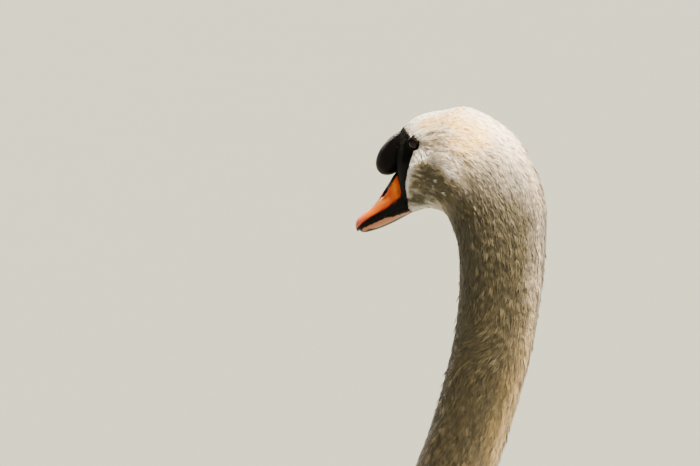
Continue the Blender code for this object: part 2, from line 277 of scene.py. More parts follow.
def curve_through(rows, t):
    """The rows at each t, counted in rows, on a Catmull-Rom spline through all of them."""
    rows, t = np.asarray(rows, float), np.atleast_1d(t)
    last = len(rows) - 1
    i = np.clip(t.astype(int), 0, last - 1)
    f = (t - i)[:, None]
    a, b, c, d = (rows[np.clip(i + k, 0, last)] for k in (-1, 0, 1, 2))
    return 0.5 * (2 * b + (c - a) * f + (2 * a - 5 * b + 4 * c - d) * f**2 + (3 * b - a - 3 * c + d) * f**3)


def mottle(points, scale, seed=0.0):
    """Smooth noise from -1 to 1 at each point, with spots of about that size."""
    shift = Vector((seed * 3.1, seed * 1.7, seed * 2.3))
    return np.array([noise.noise(Vector(p) / scale + shift) for p in points])


def places_tree(points, numbers=None):
    """The points, each under its number, ready to tell which is nearest to a place."""
    tree = kdtree.KDTree(len(points))
    for k, point in zip(numbers or range(len(points)), points):
        tree.insert(Vector(point), k)
    tree.balance()
    return tree


def between(values, r, c, wrap=False):
    """Values of a grid between its points, and a little past its edges, at fractions of rows and of columns.
    With wrap, the last column joins the first."""
    rows, columns = values.shape[:2]
    r0, c0 = np.clip(np.floor(r).astype(int), 0, rows - 2), np.floor(c).astype(int)
    if not wrap:
        c0 = np.clip(c0, 0, columns - 2)
    a, b = r - r0, c - c0
    if values.ndim == 3:
        a, b = a[..., None], b[..., None]
    c0, c1 = c0 % columns, (c0 + 1) % columns
    near, far = (values[row, c0] * (1 - b) + values[row, c1] * b for row in (r0, r0 + 1))
    return near * (1 - a) + far * a


def solid_tree(*nodes):
    """The surface of some of the solids together, to cast rays at."""
    points, faces = [], []
    for node in nodes:
        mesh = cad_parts[node].data
        first = len(points)
        points += [vertex.co.copy() for vertex in mesh.vertices]
        faces += [[first + k for k in face.vertices] for face in mesh.polygons]
    return BVHTree.FromPolygons(points, faces)


def cast(tree, starts, directions, reach):
    """Where each ray first meets the surface, and nan where it doesn't."""
    met = np.full((len(starts), 3), np.nan)
    for k, (start, direction) in enumerate(zip(starts, directions)):
        hit = tree.ray_cast(Vector(start), Vector(direction), reach)[0]
        if hit:
            met[k] = hit
    return met


# ---- the head's own frame: f forwards along the mouth, u upwards, from midway between the eyes ----

HEAD_PITCH = math.radians(27)
EYE_LOW, EYE_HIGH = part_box("eye_left")
EYE_CENTRE = np.array((EYE_LOW + EYE_HIGH) / 2)
EYE_RADIUS = float(EYE_HIGH.y - EYE_LOW.y) / 2
MOUTH_LINE = -51.5 * MM


def from_head(f, u):
    """y and z of a place given in the head's frame."""
    y = EYE_CENTRE[1] - f * math.cos(HEAD_PITCH) - u * math.sin(HEAD_PITCH)
    z = EYE_CENTRE[2] - f * math.sin(HEAD_PITCH) + u * math.cos(HEAD_PITCH)
    return y, z


def to_head(points):
    """f and u of points of the world."""
    y, z = points[..., 1] - EYE_CENTRE[1], points[..., 2] - EYE_CENTRE[2]
    return (
        -y * math.cos(HEAD_PITCH) - z * math.sin(HEAD_PITCH),
        -y * math.sin(HEAD_PITCH) + z * math.cos(HEAD_PITCH),
    )


def bill_place(x, f, u):
    """Places in the world, from x and a place in the head's frame."""
    y, z = from_head(f, u)
    return np.stack([np.broadcast_to(x, np.shape(y)), y, z], -1)


# ---- the run of the body, from the root of the bill to the rump ----
# In millimetres. The head's rows are in its own frame: f and u on the crown, f and u on the throat. The rest
# are in the world: y and z on the back's outline, y and z on the throat's or the belly's.

HEAD_RUN = [
    (20, 18, 48, -58.5),
    (9, 22, 38, -59.5),
    (-8, 23.5, 26, -61.5),
    (-32, 18.5, 14, -68),
    (-60, 9.5, 5, -77),
]
BODY_RUN = [
    (-97, 778, -154.5, 679),
    (-68, 728.5, -151, 666),
    (-65, 676, -148, 668),
    (-71, 614, -147, 622),
    (-82, 560, -156, 576),
    (-97, 508, -168.5, 528),
    (-114, 456, -185, 480),
    (-130, 402, -206, 428),
    (-139, 350, -229, 370),
    (-137, 312, -258, 318),
    (-112, 287, -283, 245),
    (-86, 284, -287, 155),
    (-50, 292, -258, 78),
    (0, 303, -190, 22),
    (60, 309, -80, -8),
    (130, 308, 50, -14),
    (205, 298, 165, -4),
    (275, 280, 262, 36),
    (335, 259, 340, 92),
    (382, 244, 396, 148),
    (408, 226, 418, 180),
]
# Places along the run are counted in these rows, from 0 at the bill's root.
BREAST, RUMP = 13.2, 25.0
# How many rings the skin has from one place to another, and how many points go round each ring.
RING_SPANS = [(0, 2, 40), (2, 4, 50), (4, 6, 46), (6, 13, 92), (13, 17, 50), (17, 25, 84)]
AROUND = 200
# Where the solids of the run part. The skin bridges that much of the run on both sides of each cut.
SOLID_CUTS, CUT_REACH = (5.5, 8.333, 10.667, 13.6), 0.07
OFF_ROWS = 1e-4  # the rings lie a hair past the rows, so that no ray runs along an edge of the solids
RAY_START = 1.45  # rays start this far from a ring's middle, as a share of its own reach
CORE_SHARE, CORE_MOST = 0.4, 60 * MM  # what a ray meets nearer the middle than this isn't the outside
WING_LIFT = 80 * MM  # how far off the body the wing's outside may lie
BEND_ROUNDS = 300  # enough for the rings under the chin to come to rest


def run_rows():
    """All the rows in metres of the world: y and z of the back's outline, then of the throat's or belly's."""
    head = [(*from_head(f * MM, u * MM), *from_head(g * MM, v * MM)) for f, u, g, v in HEAD_RUN]
    return np.array(head + [tuple(c * MM for c in row) for row in BODY_RUN])


def ring_places():
    """Where each ring of the skin lies along the run, counted in its rows."""
    spans = [np.linspace(a, b, count, endpoint=False) for a, b, count in RING_SPANS]
    return np.append(np.concatenate(spans), RUMP) + OFF_ROWS


def fill_gaps(values):
    """Replaces what is missing along the first axis by what lies before and after it."""
    for j in range(values.shape[1]):
        missing = np.isnan(values[:, j, 0])
        if missing.any():
            known = np.nonzero(~missing)[0]
            for axis in range(3):
                values[missing, j, axis] = np.interp(np.nonzero(missing)[0], known, values[known, j, axis])
    return values


def soften(values, rounds, keep=0):
    """Averages each ring's points with their neighbours, leaving the first rings as they are."""
    for _ in range(rounds):
        before, after = values[:-2], values[2:]
        left, right = np.roll(values, 1, axis=1)[1:-1], np.roll(values, -1, axis=1)[1:-1]
        mean = (before + after + left + right) / 4
        values = values.copy()
        values[1 + keep : -1] += 0.5 * (mean - values[1:-1])[keep:]
    return values


def grid_normals(points):
    """Which way the surface faces at each point of a grid of rings."""
    along = np.gradient(points, axis=0)
    around = np.roll(points, -1, axis=1) - np.roll(points, 1, axis=1)
    return unit(np.cross(around, along))


def mirrored(half):
    """A full ring of points from the left half of it, back to belly."""
    other = half[:, -2:0:-1].copy()
    other[..., 0] *= -1
    return np.concatenate([half, other], axis=1)


class Hide:
    """The skin as a grid: rings from the bill's root to the rump, and points round each from the back over
    the left side. It keeps the coat's outline, the skin under it, and where feathers are missing."""

    def __init__(self):
        self.t = ring_places()
        self.turn = full_turn(AROUND)
        self.outline, self.on_wing = self.take_outline()
        self.out = grid_normals(self.outline)
        self.bare = self.bare_skin()
        self.depth = self.coat_depth()
        self.skin = self.take_skin()
        self.normal = grid_normals(self.skin)
        self.along = np.gradient(self.skin, axis=0)
        self.lie = unit(self.along)
        across = (np.roll(self.skin, -1, axis=1) - np.roll(self.skin, 1, axis=1)) / 2
        self.area = np.linalg.norm(np.cross(across, self.along), axis=-1)
        self.tree = places_tree(self.skin.reshape(-1, 3))

    def take_outline(self):
        """The solids' outer surface, met by rays in the plane of each ring, and where it is the wings'."""
        rows = curve_through(run_rows(), self.t)
        back, belly = (np.column_stack([0 * self.t, rows[:, k : k + 2]]) for k in (0, 2))
        middle, reach = (back + belly) / 2, np.linalg.norm(back - belly, axis=1) / 2
        up = unit(back - belly)
        half = AROUND // 2 + 1
        turn = self.turn[:half]
        ways = up[:, None] * np.cos(turn)[None, :, None] + np.array([1.0, 0, 0]) * np.sin(turn)[None, :, None]
        starts = middle[:, None] + ways * (RAY_START * reach[:, None, None])
        tree = solid_tree(*FLESH, "eye_left")
        met = cast(tree, starts.reshape(-1, 3), -ways.reshape(-1, 3), 1.0).reshape(ways.shape)
        along = ((met - middle[:, None]) * ways).sum(axis=-1)
        met[along < CORE_SHARE * np.minimum(reach, CORE_MOST)[:, None]] = np.nan
        for cut in SOLID_CUTS:
            met[np.abs(self.t - cut) < CUT_REACH] = np.nan
        outline = self.open_bend(mirrored(fill_gaps(met)))
        on_wing = self.take_wing(outline, half)
        left = outline[:, :half]
        mask = np.concatenate([on_wing[:, :half], on_wing[:, half - 2 : 0 : -1]], axis=1)
        full = mirrored(left)
        body = self.t > BREAST
        full[body] = soften(full, 6)[body]
        return full, mask

    def take_wing(self, outline, half):
        """Moves the left side's points out onto the folded wing, and says which have moved."""
        normal = grid_normals(soften(outline, 3))
        over_it = np.full(outline.shape, np.nan)
        where = np.zeros(outline.shape[:2], bool)
        where[self.t > BREAST + 0.5] = True
        where[:, half:] = False
        starts = outline[where] + normal[where] * WING_LIFT
        over_it[where] = cast(solid_tree("wing_left"), starts, -normal[where], WING_LIFT)
        on_wing = ~np.isnan(over_it[..., 0])
        outline[on_wing] = over_it[on_wing]
        return on_wing

    def open_bend(self, outline):
        """Spaces the rings evenly on the inside of the bend under the chin, where they would fold."""
        inner = blend(0.45, 0.95, 1 - np.abs(self.turn / math.pi - 1))
        reach = blend(4.3, 5.2, self.t) * blend(9, 7.8, self.t)
        share = 0.5 * (reach[:, None] * inner)[..., None]
        for _ in range(BEND_ROUNDS):
            mean = (outline[:-2] + outline[2:]) / 2
            outline[1:-1] += share[1:-1] * (mean - outline[1:-1])
        return outline

    def bare_skin(self):
        """1 on the black skin between the bill and the eye, which has no feathers."""
        f, u = to_head(self.outline)
        return bare_between(f, u) * (self.t[:, None] < 4)

    def coat_depth(self):
        """How thick the coat is: from the tips of its feathers down to the skin."""
        by_place = read_line(COAT_DEPTH, self.t)[:, None] * MM * np.ones(AROUND)
        depth = by_place * (1 - self.bare) + BARE_DEPTH * self.bare
        return np.where(self.on_wing, WING_DEPTH, depth)

    def take_skin(self):
        """The skin: under the coat, with its lids, and clear of the floor."""
        depth = self.depth[..., None].repeat(3, -1)
        skin = self.outline - self.out * soften(depth, 2)
        for side in (1, -1):
            skin = with_lids(skin, side)
        skin[..., 2] = np.maximum(skin[..., 2], FLOOR_ROOM)
        # Beside the bill's root the skin thins out, so that the horn stands a little proud of it.
        u = to_head(skin)[1] / MM
        thin = (1 - blend(0, 0.45, self.t))[:, None] * blend(-17, -22, u) * blend(-46, -41, u)
        skin[..., 0] -= np.sign(skin[..., 0]) * np.minimum(ROOT_THINNING * thin, np.abs(skin[..., 0]) / 2)
        return skin

    def nearest(self, points):
        """The ring, and the place round it, of the skin's nearest point to each of the points."""
        found = np.array([self.tree.find(Vector(point))[1] for point in points])
        return (found // AROUND).astype(float), (found % AROUND).astype(float)


# How thick the coat is in millimetres, against the place along the run.
COAT_DEPTH = [(0, 1.3), (1.5, 1.8), (3, 2.6), (6, 3.4), (10, 3.8), (13, 5), (15, 8), (17, 9), (24, 9)]
COAT_DEPTH += [(25, 7)]
BARE_DEPTH, WING_DEPTH = 0.3 * MM, 7 * MM
FLOOR_ROOM = 1.5 * MM
ROOT_THINNING = 2.2 * MM

# The border of the bare skin, in the head's frame: along the cheek from behind the eye to the gape, and along
# the brow from behind the eye to the top of the knob.
CHEEK_BORDER = [(-11, -1.5), (-5.5, -5.6), (0, -8.6), (5, -12.2), (10, -16.6), (15.4, -21), (19.6, -25.7)]
CHEEK_BORDER += [(24.2, -30.5), (27.8, -35.6), (30.6, -41.1), (34.2, -46.5), (39, -51.8), (44, -56)]
BROW_BORDER = [(-11, -1.5), (-6, 4.2), (-2, 6.2), (1.5, 8.5), (6, 13.2), (13, 18.4), (24, 23)]


def bare_between(f, u):
    """1 between the two borders of the bare skin, 0 outside them."""
    f, u = f / MM, u / MM
    over_cheek, under_brow = u - read_line(CHEEK_BORDER, f), read_line(BROW_BORDER, f) - u
    return blend(-0.5, 0.5, over_cheek) * blend(-0.5, 0.5, under_brow) * (f > CHEEK_BORDER[0][0])


# The eye opening: half angle of the gap between the lids, how far the rim stands off the eyeball, how wide
# the rim is, and the angle by which the lid has run out into the face.
EYE_OPENING, LID_RIM, RIM_WIDTH, LID_END = math.radians(41), 0.55 * MM, 0.16, math.radians(86)
# The pit behind the eyeball's front, as a share of its radius, and how far out the lids are shaped.
EYE_PIT, LID_REACH = 0.8, 3
EYE_FORWARD, EYE_UP = math.radians(5), math.radians(-7)


def eye_axis(side):
    """Which way an eye looks: side is 1 for the left and -1 for the right."""
    y, z = from_head(math.sin(EYE_FORWARD), math.sin(EYE_UP))
    way = np.array([side * math.cos(EYE_FORWARD), y - EYE_CENTRE[1], z - EYE_CENTRE[2]])
    return way / np.linalg.norm(way)


def eye_centre(side):
    """The middle of the eyeball on one side."""
    return EYE_CENTRE * (side, 1, 1)


def from_eyes(points):
    """How far points of the face lie outside the nearer eye's opening, seen along the eye's axis."""
    gaps = []
    for side in (1, -1):
        arms, axis = points - eye_centre(side), eye_axis(side)
        ahead = (arms @ axis)[..., None]
        gap = np.linalg.norm(arms - ahead * axis, axis=-1) - EYE_RADIUS * math.sin(EYE_OPENING)
        gaps.append(np.where((ahead[..., 0] > 0) & (points[..., 0] * side > 0), gap, 1.0))
    return np.minimum(*gaps)


def with_lids(skin, side):
    """Moves the skin round one eye: a pit behind the eyeball's front, then the raised rims of the lids."""
    centre, axis = eye_centre(side), eye_axis(side)
    arms = skin - centre
    far = np.linalg.norm(arms, axis=-1)
    angle = np.arccos(np.clip((arms @ axis) / np.maximum(far, 1e-9), -1, 1))
    near = (far < LID_REACH * EYE_RADIUS) & (angle < LID_END) & (skin[..., 0] * side > 0)
    rim = EYE_RADIUS + LID_RIM
    run_out = blend(EYE_OPENING + RIM_WIDTH, LID_END, angle)
    wanted = np.where(angle < EYE_OPENING, EYE_PIT * EYE_RADIUS, rim + (far - rim) * run_out)
    wanted = np.where((angle > EYE_OPENING) & (far > wanted) & (run_out > 0.5), far, wanted)
    moved = centre + unit(arms) * wanted[..., None]
    return np.where(near[..., None], moved, skin)


# ---- markings and painted shade, shared by the skin and the coat ----

# How stained the neck is against the angle from its back, in degrees: partly the real stain and partly
# painted shade, darkest at the side and front.
NECK_STAIN_AND_SHADE = [(0, 0.58), (20, 0.88), (40, 1.15), (60, 1.28), (80, 1.3), (105, 1.3), (140, 1.2), (180, 1.0)]
# Washes over the head: middle f and u, reach along and across in millimetres, the slant of the long way in
# degrees, how strong, and which of the plumage's colours.
HEAD_WASHES = [
    (-27, 9, 24, 7, -8, 1.0, "golden"),
    (-49, 0, 18, 8, -35, 1.0, "golden"),
    (-64, -14, 14, 9, -60, 0.8, "golden"),
    (-46, -17, 18, 8, -40, 0.9, "golden"),
    (-18, -6, 20, 6, -8, 0.5, "tan"),
    (-30, -19, 17, 7, -30, 0.5, "tan"),
    (-50, -32, 10, 6, -55, 0.35, "tan"),
    (-17, 3.5, 10, 2.0, 0, 0.7, "olive"),
    (-31, -0.5, 9, 1.8, -24, 0.5, "olive"),
    (-42, -9, 8, 1.8, -42, 0.4, "olive"),
    # The cheek's patch, and the chin and throat below it: partly olive stain and partly painted shade.
    (-4, -39, 32, 22, -25, 0.9, "tan"),
    (-4, -40, 24, 17, -25, 0.6, "olive"),
    (6, -31, 13, 8, -25, 0.75, "olive"),
    (-10, -27, 11, 6, -20, 0.7, "olive"),
    (-13, -41, 15, 11, -20, 0.85, "olive"),
    (-18, -55, 12, 8, -25, 0.75, "olive"),
    (-1, -50, 10, 6, 0, 0.7, "olive"),
    (18, -49, 15, 7.5, -10, 0.9, "olive"),
    (19, -42, 11, 7, -10, 0.75, "olive"),
    (31, -50, 9, 5, -10, 0.85, "olive"),
    (-30, -68, 16, 9, -65, 0.6, "olive"),
    (-36, -72, 12, 7, -70, 0.5, "olive"),
    # Painted shade: the shaded hollow behind the cheek, as a thin greyish olive wash.
    (-49, -42, 19, 6, -72, 0.42, "olive"),
    (-30, -38, 10, 5, -58, 0.45, "white"),
    (38, -45, 8, 6, -40, 0.8, "olive"),
]


def markings_and_shade(points, t, turn):
    """The plumage's colour at each point, with painted shade on the neck and head. t is the place along the
    run, turn the angle from the back.
    """
    keys = ("white", "cream", "golden", "tan", "olive")
    pots = dict(zip(keys, paints("swan_plumage", *keys)))
    f, u = to_head(points)
    f, u = f / MM, u / MM
    away = np.degrees(np.abs((turn + math.pi) % (2 * math.pi) - math.pi))
    combed = np.column_stack([np.cos(turn) * 35 * MM, np.sin(turn) * 35 * MM, t * 4 * MM])
    streak = mottle(combed, 3.5 * MM, 1)
    drift = mottle(points, 28 * MM, 2)
    base = np.broadcast_to(pots["white"], (len(points), 3))
    head = 1 - blend(5.2, 6.6, t)
    base = over(base, pots["cream"], (0.55 + 0.3 * drift) * (1 - blend(11, 14.5, t)))
    # The neck: cream along its back, tan at the side, olive down the front, and white again at the breast.
    # The tan and olive are partly stain and partly painted shade.
    lower = blend(7.5, 10.5, t)
    stain = read_line(NECK_STAIN_AND_SHADE, away - 14 * lower + 12 * streak + 9 * drift)
    stain = stain * blend(3.5, 6.3, t + blend(60, 140, away) * 0.8) * (1 - blend(11, 14.2, t + 0.5 * drift))
    # Painted shadow of the head: the stain is greyer at the top of the neck, which lies in the head's
    # shadow, than lower down.
    dull = 0.55 * (1 - blend(6.5, 9.5, t))
    tan = over(pots["tan"], 0.3 * pots["white"], dull)
    base = over(base, pots["golden"], 1.3 * stain * (1 - 0.7 * dull))
    base = over(base, tan, blend(0.1, 0.75, stain))
    base = over(base, 0.7 * pots["olive"], 0.95 * blend(0.4, 1.15, stain))
    # The head: golden over the crown, a broken dark line behind the eye, and an olive cheek and throat
    # that are partly stain and partly painted shade.
    warp_f, warp_u = f + 2.5 * mottle(points, 9 * MM, 3), u + 2.5 * mottle(points, 9 * MM, 4)
    for f0, u0, along, across, slant, strength, pot in HEAD_WASHES:
        c, s = math.cos(math.radians(slant)), math.sin(math.radians(slant))
        a = -(warp_f - f0) * c + (warp_u - u0) * s
        b = (warp_u - u0) * c + (warp_f - f0) * s
        wash = blend(0.12, 0.75, spot(a, b, 0, 0, along, across))
        base = over(base, pots[pot], head * strength * wash * (1 + 1.1 * streak))
    # Short clean feathers in a pale line along the bare skin.
    rim = hump((read_line(CHEEK_BORDER, f) - u - 1.8) / 2.2) * blend(-9, -3, f) * blend(34, 26, f)
    return over(base, pots["white"], rim * 0.9)


# ---- plumage ----


def feather(name, rows, across, widths, curl):
    """One flat feather, 1 long and 1 wide, from its root at the origin to its tip at +Y. It keeps how high
    each point rises over the skin: the tip most, and the edges less than the shaft. It also keeps on which
    side of the shaft each point is. widths says how wide it is, from root to tip. It ends in a point."""
    along = np.array(rows, float)
    wide = np.interp(along, np.linspace(0, 1, len(widths)), widths)
    a = np.linspace(-1, 1, across)
    x = wide[:-1, None] * a / 2
    y = along[:-1, None] - 0.06 * np.abs(a) * along[:-1, None]
    rise = along[:-1, None] ** 0.7 * (1 - curl * a**2)
    points = np.stack([x, y, 0 * x], -1).reshape(-1, 3)
    points = np.vstack([points, (0, 1, 0)])
    count = len(along) - 1
    faces = [tuple(f[::-1]) for f in grid_faces(count, across, False)]
    start = (count - 1) * across
    faces += [(start + k, start + k + 1, len(points) - 1) for k in range(across - 1)]
    piece = new_piece(name, points, faces, [])
    set_numbers(piece, "rise", np.append(rise.ravel(), 1.0))
    set_numbers(piece, "side", np.append((a + 0 * wide[:-1, None]).ravel(), 0.0))
    set_map(piece, "Vane", (points[:, :2] + (0.5, 0))[corners_of(piece)])
    return piece


def lay_tree():
    """Lays a feather at each root, sweeps it sideways, wraps it round the skin at its own height, and gives
    it a small patch at its root's place on the skin's unwrap."""
    tree = bpy.data.node_groups.new("Lay feathers", "GeometryNodeTree")
    kinds = {"Roots": "Geometry", "Feather": "Object", "Skin": "Object", "Finish": "Material"}
    kinds |= dict.fromkeys(("Ruffle", "Ruffle Size", "Patch", "Seed"), "Float")
    for name, kind in kinds.items():
        tree.interface.new_socket(name, in_out="INPUT", socket_type=f"NodeSocket{kind}")
    tree.interface.new_socket("Coat", in_out="OUTPUT", socket_type="NodeSocketGeometry")
    given = add(tree, "NodeGroupInput").outputs
    own = {
        name: add(tree, "GeometryNodeInputNamedAttribute", {"Name": name}, data_type=kind)
        for name, kind in (HELPERS | {"Vane": "FLOAT_VECTOR"}).items()
    }
    # Each feather at its root, turned to lie with the coat, and then a mesh of its own.
    one, skin = (add(tree, "GeometryNodeObjectInfo", {"Object": given[key]}) for key in ("Feather", "Skin"))
    turn = {"Primary Axis": own["lie"], "Secondary Axis": own["out"]}
    turned = add(tree, "FunctionNodeAxesToRotation", turn, primary_axis="Y", secondary_axis="Z")
    each = {"Points": given["Roots"], "Instance": one.outputs["Geometry"], "Scale": own["size"]}
    placed = add(tree, "GeometryNodeInstanceOnPoints", each | {"Rotation": turned})
    made = add(tree, "GeometryNodeRealizeInstances", {"Geometry": placed})
    # The sweep grows with the square of the way along the feather.
    apart = add(tree, "ShaderNodeSeparateXYZ", {"Vector": own["Vane"]})
    squared = add(tree, MATH, {0: apart.outputs["Y"], 1: 2.0}, operation="POWER")
    swept = add(tree, VECTOR_MATH, {0: own["sweep"], "Scale": squared}, operation="SCALE")
    moved = add(tree, VECTOR_MATH, {0: add(tree, "GeometryNodeInputPosition"), 1: swept}, operation="ADD")
    # Onto the skin, and off it again by the point's own height.
    near = {"Geometry": skin.outputs["Geometry"], "Sample Position": moved}
    footing = add(tree, "GeometryNodeProximity", near, target_element="FACES")
    near = {"Mesh": skin.outputs["Geometry"], "Sample Position": moved}
    near["Value"] = add(tree, "GeometryNodeInputNormal")
    facing = add(tree, "GeometryNodeSampleNearestSurface", near, data_type="FLOAT_VECTOR")
    noisy = {"Vector": moved, "W": given["Seed"], "Scale": given["Ruffle Size"], "Detail": 1.0}
    rough = add(tree, "ShaderNodeTexNoise", noisy, noise_dimensions="4D")
    centred = add(tree, MATH, {0: rough, 1: 0.5}, operation="SUBTRACT")
    ruffle = add(tree, MATH, {0: centred, 1: given["Ruffle"]}, operation="MULTIPLY")
    lift = add(tree, MATH, {0: own["lift"], 1: ruffle}, operation="ADD")
    rise = add(tree, MATH, {0: own["rise"], 1: lift}, operation="MULTIPLY")
    roll = add(tree, MATH, {0: own["side"], 1: own["roll"]}, operation="MULTIPLY")
    raised = add(tree, MATH, {0: rise, 1: roll}, operation="ADD")
    height = add(tree, VECTOR_MATH, {0: facing, "Scale": raised}, operation="SCALE")
    final = add(tree, VECTOR_MATH, {0: footing, 1: height}, operation="ADD")
    wrapped = add(tree, "GeometryNodeSetPosition", {"Geometry": made, "Position": final})
    # The patch on the unwrap, and the material.
    inner = add(tree, VECTOR_MATH, {0: own["Vane"], 1: (0.5, 0.5, 0)}, operation="SUBTRACT")
    patch = add(tree, VECTOR_MATH, {0: inner, "Scale": given["Patch"]}, operation="SCALE")
    place = add(tree, VECTOR_MATH, {0: patch, 1: own["root_uv"]}, operation="ADD")
    kept = {"Geometry": wrapped, "Name": "OFBake", "Value": place}
    stored = add(tree, "GeometryNodeStoreNamedAttribute", kept, data_type="FLOAT2", domain="CORNER")
    done = add(tree, "GeometryNodeSetMaterial", {"Geometry": stored, "Material": given["Finish"]})
    add(tree, "NodeGroupOutput", {"Coat": done})
    return tree


# What the roots and the feathers tell the tree, by the kind of value. The coat keeps none of it.
HELPERS = dict.fromkeys(("lie", "out", "size", "sweep", "root_uv"), "FLOAT_VECTOR")
HELPERS |= dict.fromkeys(("lift", "roll", "rise", "side"), "FLOAT")
PATCH = 0.003  # how much of the unwrap each feather's patch takes, along and across


def laid(name, roots, settings):
    """Runs the tree over a set of roots, and keeps the result as a plain mesh."""
    holder = new_piece(name + "_roots", roots["place"], [], [])
    for key, kind in HELPERS.items():
        if key in roots:
            set_numbers(holder, key, roots[key], kind, "value" if kind == "FLOAT" else "vector")
    set_colours(holder, roots["tint"])
    tree = bpy.data.node_groups.get("Lay feathers") or lay_tree()
    layer = holder.modifiers.new("Lay feathers", "NODES")
    layer.node_group = tree
    sockets = {item.name: item.identifier for item in tree.interface.items_tree if item.in_out == "INPUT"}
    for key, value in settings.items():
        layer[sockets[key]] = value
    graph = bpy.context.evaluated_depsgraph_get()
    graph.update()
    mesh = bpy.data.meshes.new_from_object(holder.evaluated_get(graph), depsgraph=graph)
    mesh.name = name
    bpy.data.objects.remove(holder)
    for helper in HELPERS:
        if helper in mesh.attributes:
            mesh.attributes.remove(mesh.attributes[helper])
    mesh.shade_smooth()
    return settled(name, mesh)


# The coat against the place along the run: t, a feather's length and width in millimetres, how many roots
# share a wet clump, and how strongly its tips draw together.
SIZES = np.array(
    [
        (0, 3.0, 0.6, 5, 0.2),
        (1, 4.4, 0.65, 6, 0.3),
        (2.5, 7, 0.7, 7, 0.35),
        (4.5, 10, 0.75, 8, 0.45),
        (7, 13, 0.8, 9, 0.5),
        (10, 15, 0.85, 9, 0.5),
        (12, 17, 1.4, 8, 0.4),
        (13.5, 20, 4.5, 5, 0.2),
        (14.5, 26, 10, 3, 0.1),
        (17, 36, 18, 2, 0.06),
        (20, 44, 22, 2, 0.05),
        (25, 46, 22, 2, 0.05),
    ]
)
SPIKE_SHARE, SPIKE_LIFT = 0.05, 0.5  # clumps that stand off the coat, and by how much more than the rest


def sized(column, t):
    """One column of the table above, at places along the run."""
    return np.interp(t, SIZES[:, 0], SIZES[:, column])


def clumps(rng, place, tip, share, t):
    """Gathers roots round every few of them. Gives each root its clump and the way to its clump's tip."""
    heads = np.nonzero(rng.random(len(place)) < 1 / sized(3, t))[0]
    tree = places_tree(place[heads], heads.tolist())
    mine = np.array([tree.find(Vector(point))[1] for point in place])
    return mine, (tip[mine] - tip) * share[:, None]


def grow(hide, seed, first, last, density, weight, longer=1.0):
    """Roots spread evenly over a stretch of the skin, with every value that the tree needs. The weight says
    how much of the coat grows at each point of the skin's grid."""
    rng = np.random.default_rng(seed)
    prefs = bpy.context.scene.swan_plumage
    longer, wider = longer * prefs.feather_length, prefs.feather_width
    each = 0.6 * sized(1, hide.t) * longer * sized(2, hide.t) * wider * MM * MM
    cover = hide.area * (prefs.overlap * density / each)[:, None]
    cover = cover * ((hide.t >= first) & (hide.t < last))[:, None] * weight
    cover[-1] = 0
    cover = cover * (from_eyes(hide.skin) > 1.5 * MM)
    total = np.cumsum(cover.ravel())
    count = int(total[-1])
    picks = np.searchsorted(total, (np.arange(count) + rng.random(count)) / count * total[-1])
    i = picks // AROUND + rng.random(count)
    j = picks % AROUND + rng.random(count) - 0.5
    t = np.interp(i, np.arange(len(hide.t)), hide.t)
    place = between(hide.skin, i, j, wrap=True)
    out = unit(between(hide.normal, i, j, wrap=True))
    lie = unit(between(hide.lie, i, j, wrap=True))
    across = np.cross(lie, out)
    swing = swirl(place, t) + rng.normal(0, 0.07, count)
    lie = unit(lie * np.cos(swing)[:, None] + across * np.sin(swing)[:, None])
    edge = between(soften(hide.bare[..., None], 6)[..., 0], i, j, wrap=True)
    short = 1 - 0.5 * np.clip(edge * 3, 0, 1)
    long = sized(1, t) * MM * longer * rng.normal(1, 0.14, count).clip(0.6, 1.5) * short
    broad = sized(2, t) * MM * wider * rng.normal(1, 0.15, count).clip(0.6, 1.5)
    mine, pull = clumps(rng, place, place + lie * long[:, None], sized(4, t), t)
    pull = pull - out * (pull * out).sum(axis=1, keepdims=True)
    pull = pull * np.minimum(1, 0.45 * long / np.maximum(np.linalg.norm(pull, axis=1), 1e-9))[:, None]
    gap = np.linalg.norm(place[mine] - place, axis=1)
    crest = hump(gap / (0.28 * long))
    spiky = np.where(rng.random(count)[mine] < SPIKE_SHARE, SPIKE_LIFT, 0) * blend(13, 11, t) * crest
    depth = between(hide.depth, i, j, wrap=True)
    under = between((hide.on_wing & (hide.skin[..., 1] > REAR)) * 1.0, i, j, wrap=True)
    depth = depth * (1 - 0.8 * under)
    own = rng.normal(1, 0.09, count)[mine] * rng.normal(1, 0.05, count)
    calm = 1 - 0.45 * (1 - blend(3.5, 5.5, t))
    lift = depth * (0.76 + calm * (0.2 * crest + spiky)) * (1 + calm * (own - 1)).clip(0.6, 1.3)
    bend = rng.normal(0, 0.09, count) * long
    return {
        "t": t,
        "place": place,
        "out": out,
        "lie": lie,
        "size": np.column_stack([broad, long, np.ones(count)]),
        "sweep": pull + np.cross(lie, out) * bend[:, None],
        "lift": lift,
        "roll": rng.normal(0, 0.1, count) * np.minimum(broad, 3 * MM),
        "root_uv": root_patch(i, j, len(hide.t)),
        "tint": tints(place, t, j * 2 * math.pi / AROUND, mine, crest, rng),
    }


RUFFLED = np.array([33, -108, 588]) * MM  # a patch on the left of the neck that has been combed forwards
PAINTED_GLINT = np.array(linear("#E7DFCE")[:3])  # painted glints: pale flecks for the shine on wet feather tips, here and there


def swirl(place, t):
    """How far the lie turns from straight back, in radians: slow waves, livelier on the cheek."""
    f, u = to_head(place)
    cheek = spot(f, u, -10 * MM, -40 * MM, 24 * MM, 20 * MM) * (t < 5)
    slow = mottle(place, 24 * MM, 14) * 0.32 * blend(18, 12, t) + mottle(place, 60 * MM, 15) * 0.2
    away = np.linalg.norm((place - RUFFLED) * (1, 1, 0.7), axis=1)
    ruffled = hump(away / (20 * MM)) * (1 + 0.6 * mottle(place, 8 * MM, 17))
    return slow + cheek * mottle(place, 9 * MM, 16) * 1.3 + 0.85 * ruffled


def root_patch(i, j, rings):
    """Where a root lies on the skin's unwrap, kept far enough from its edges for the whole patch."""
    u = np.clip((j % AROUND) / AROUND, PATCH, 1 - PATCH)
    v = np.clip(i / (rings - 1), PATCH, 1 - PATCH)
    return np.column_stack([u, v, np.zeros(len(u))])


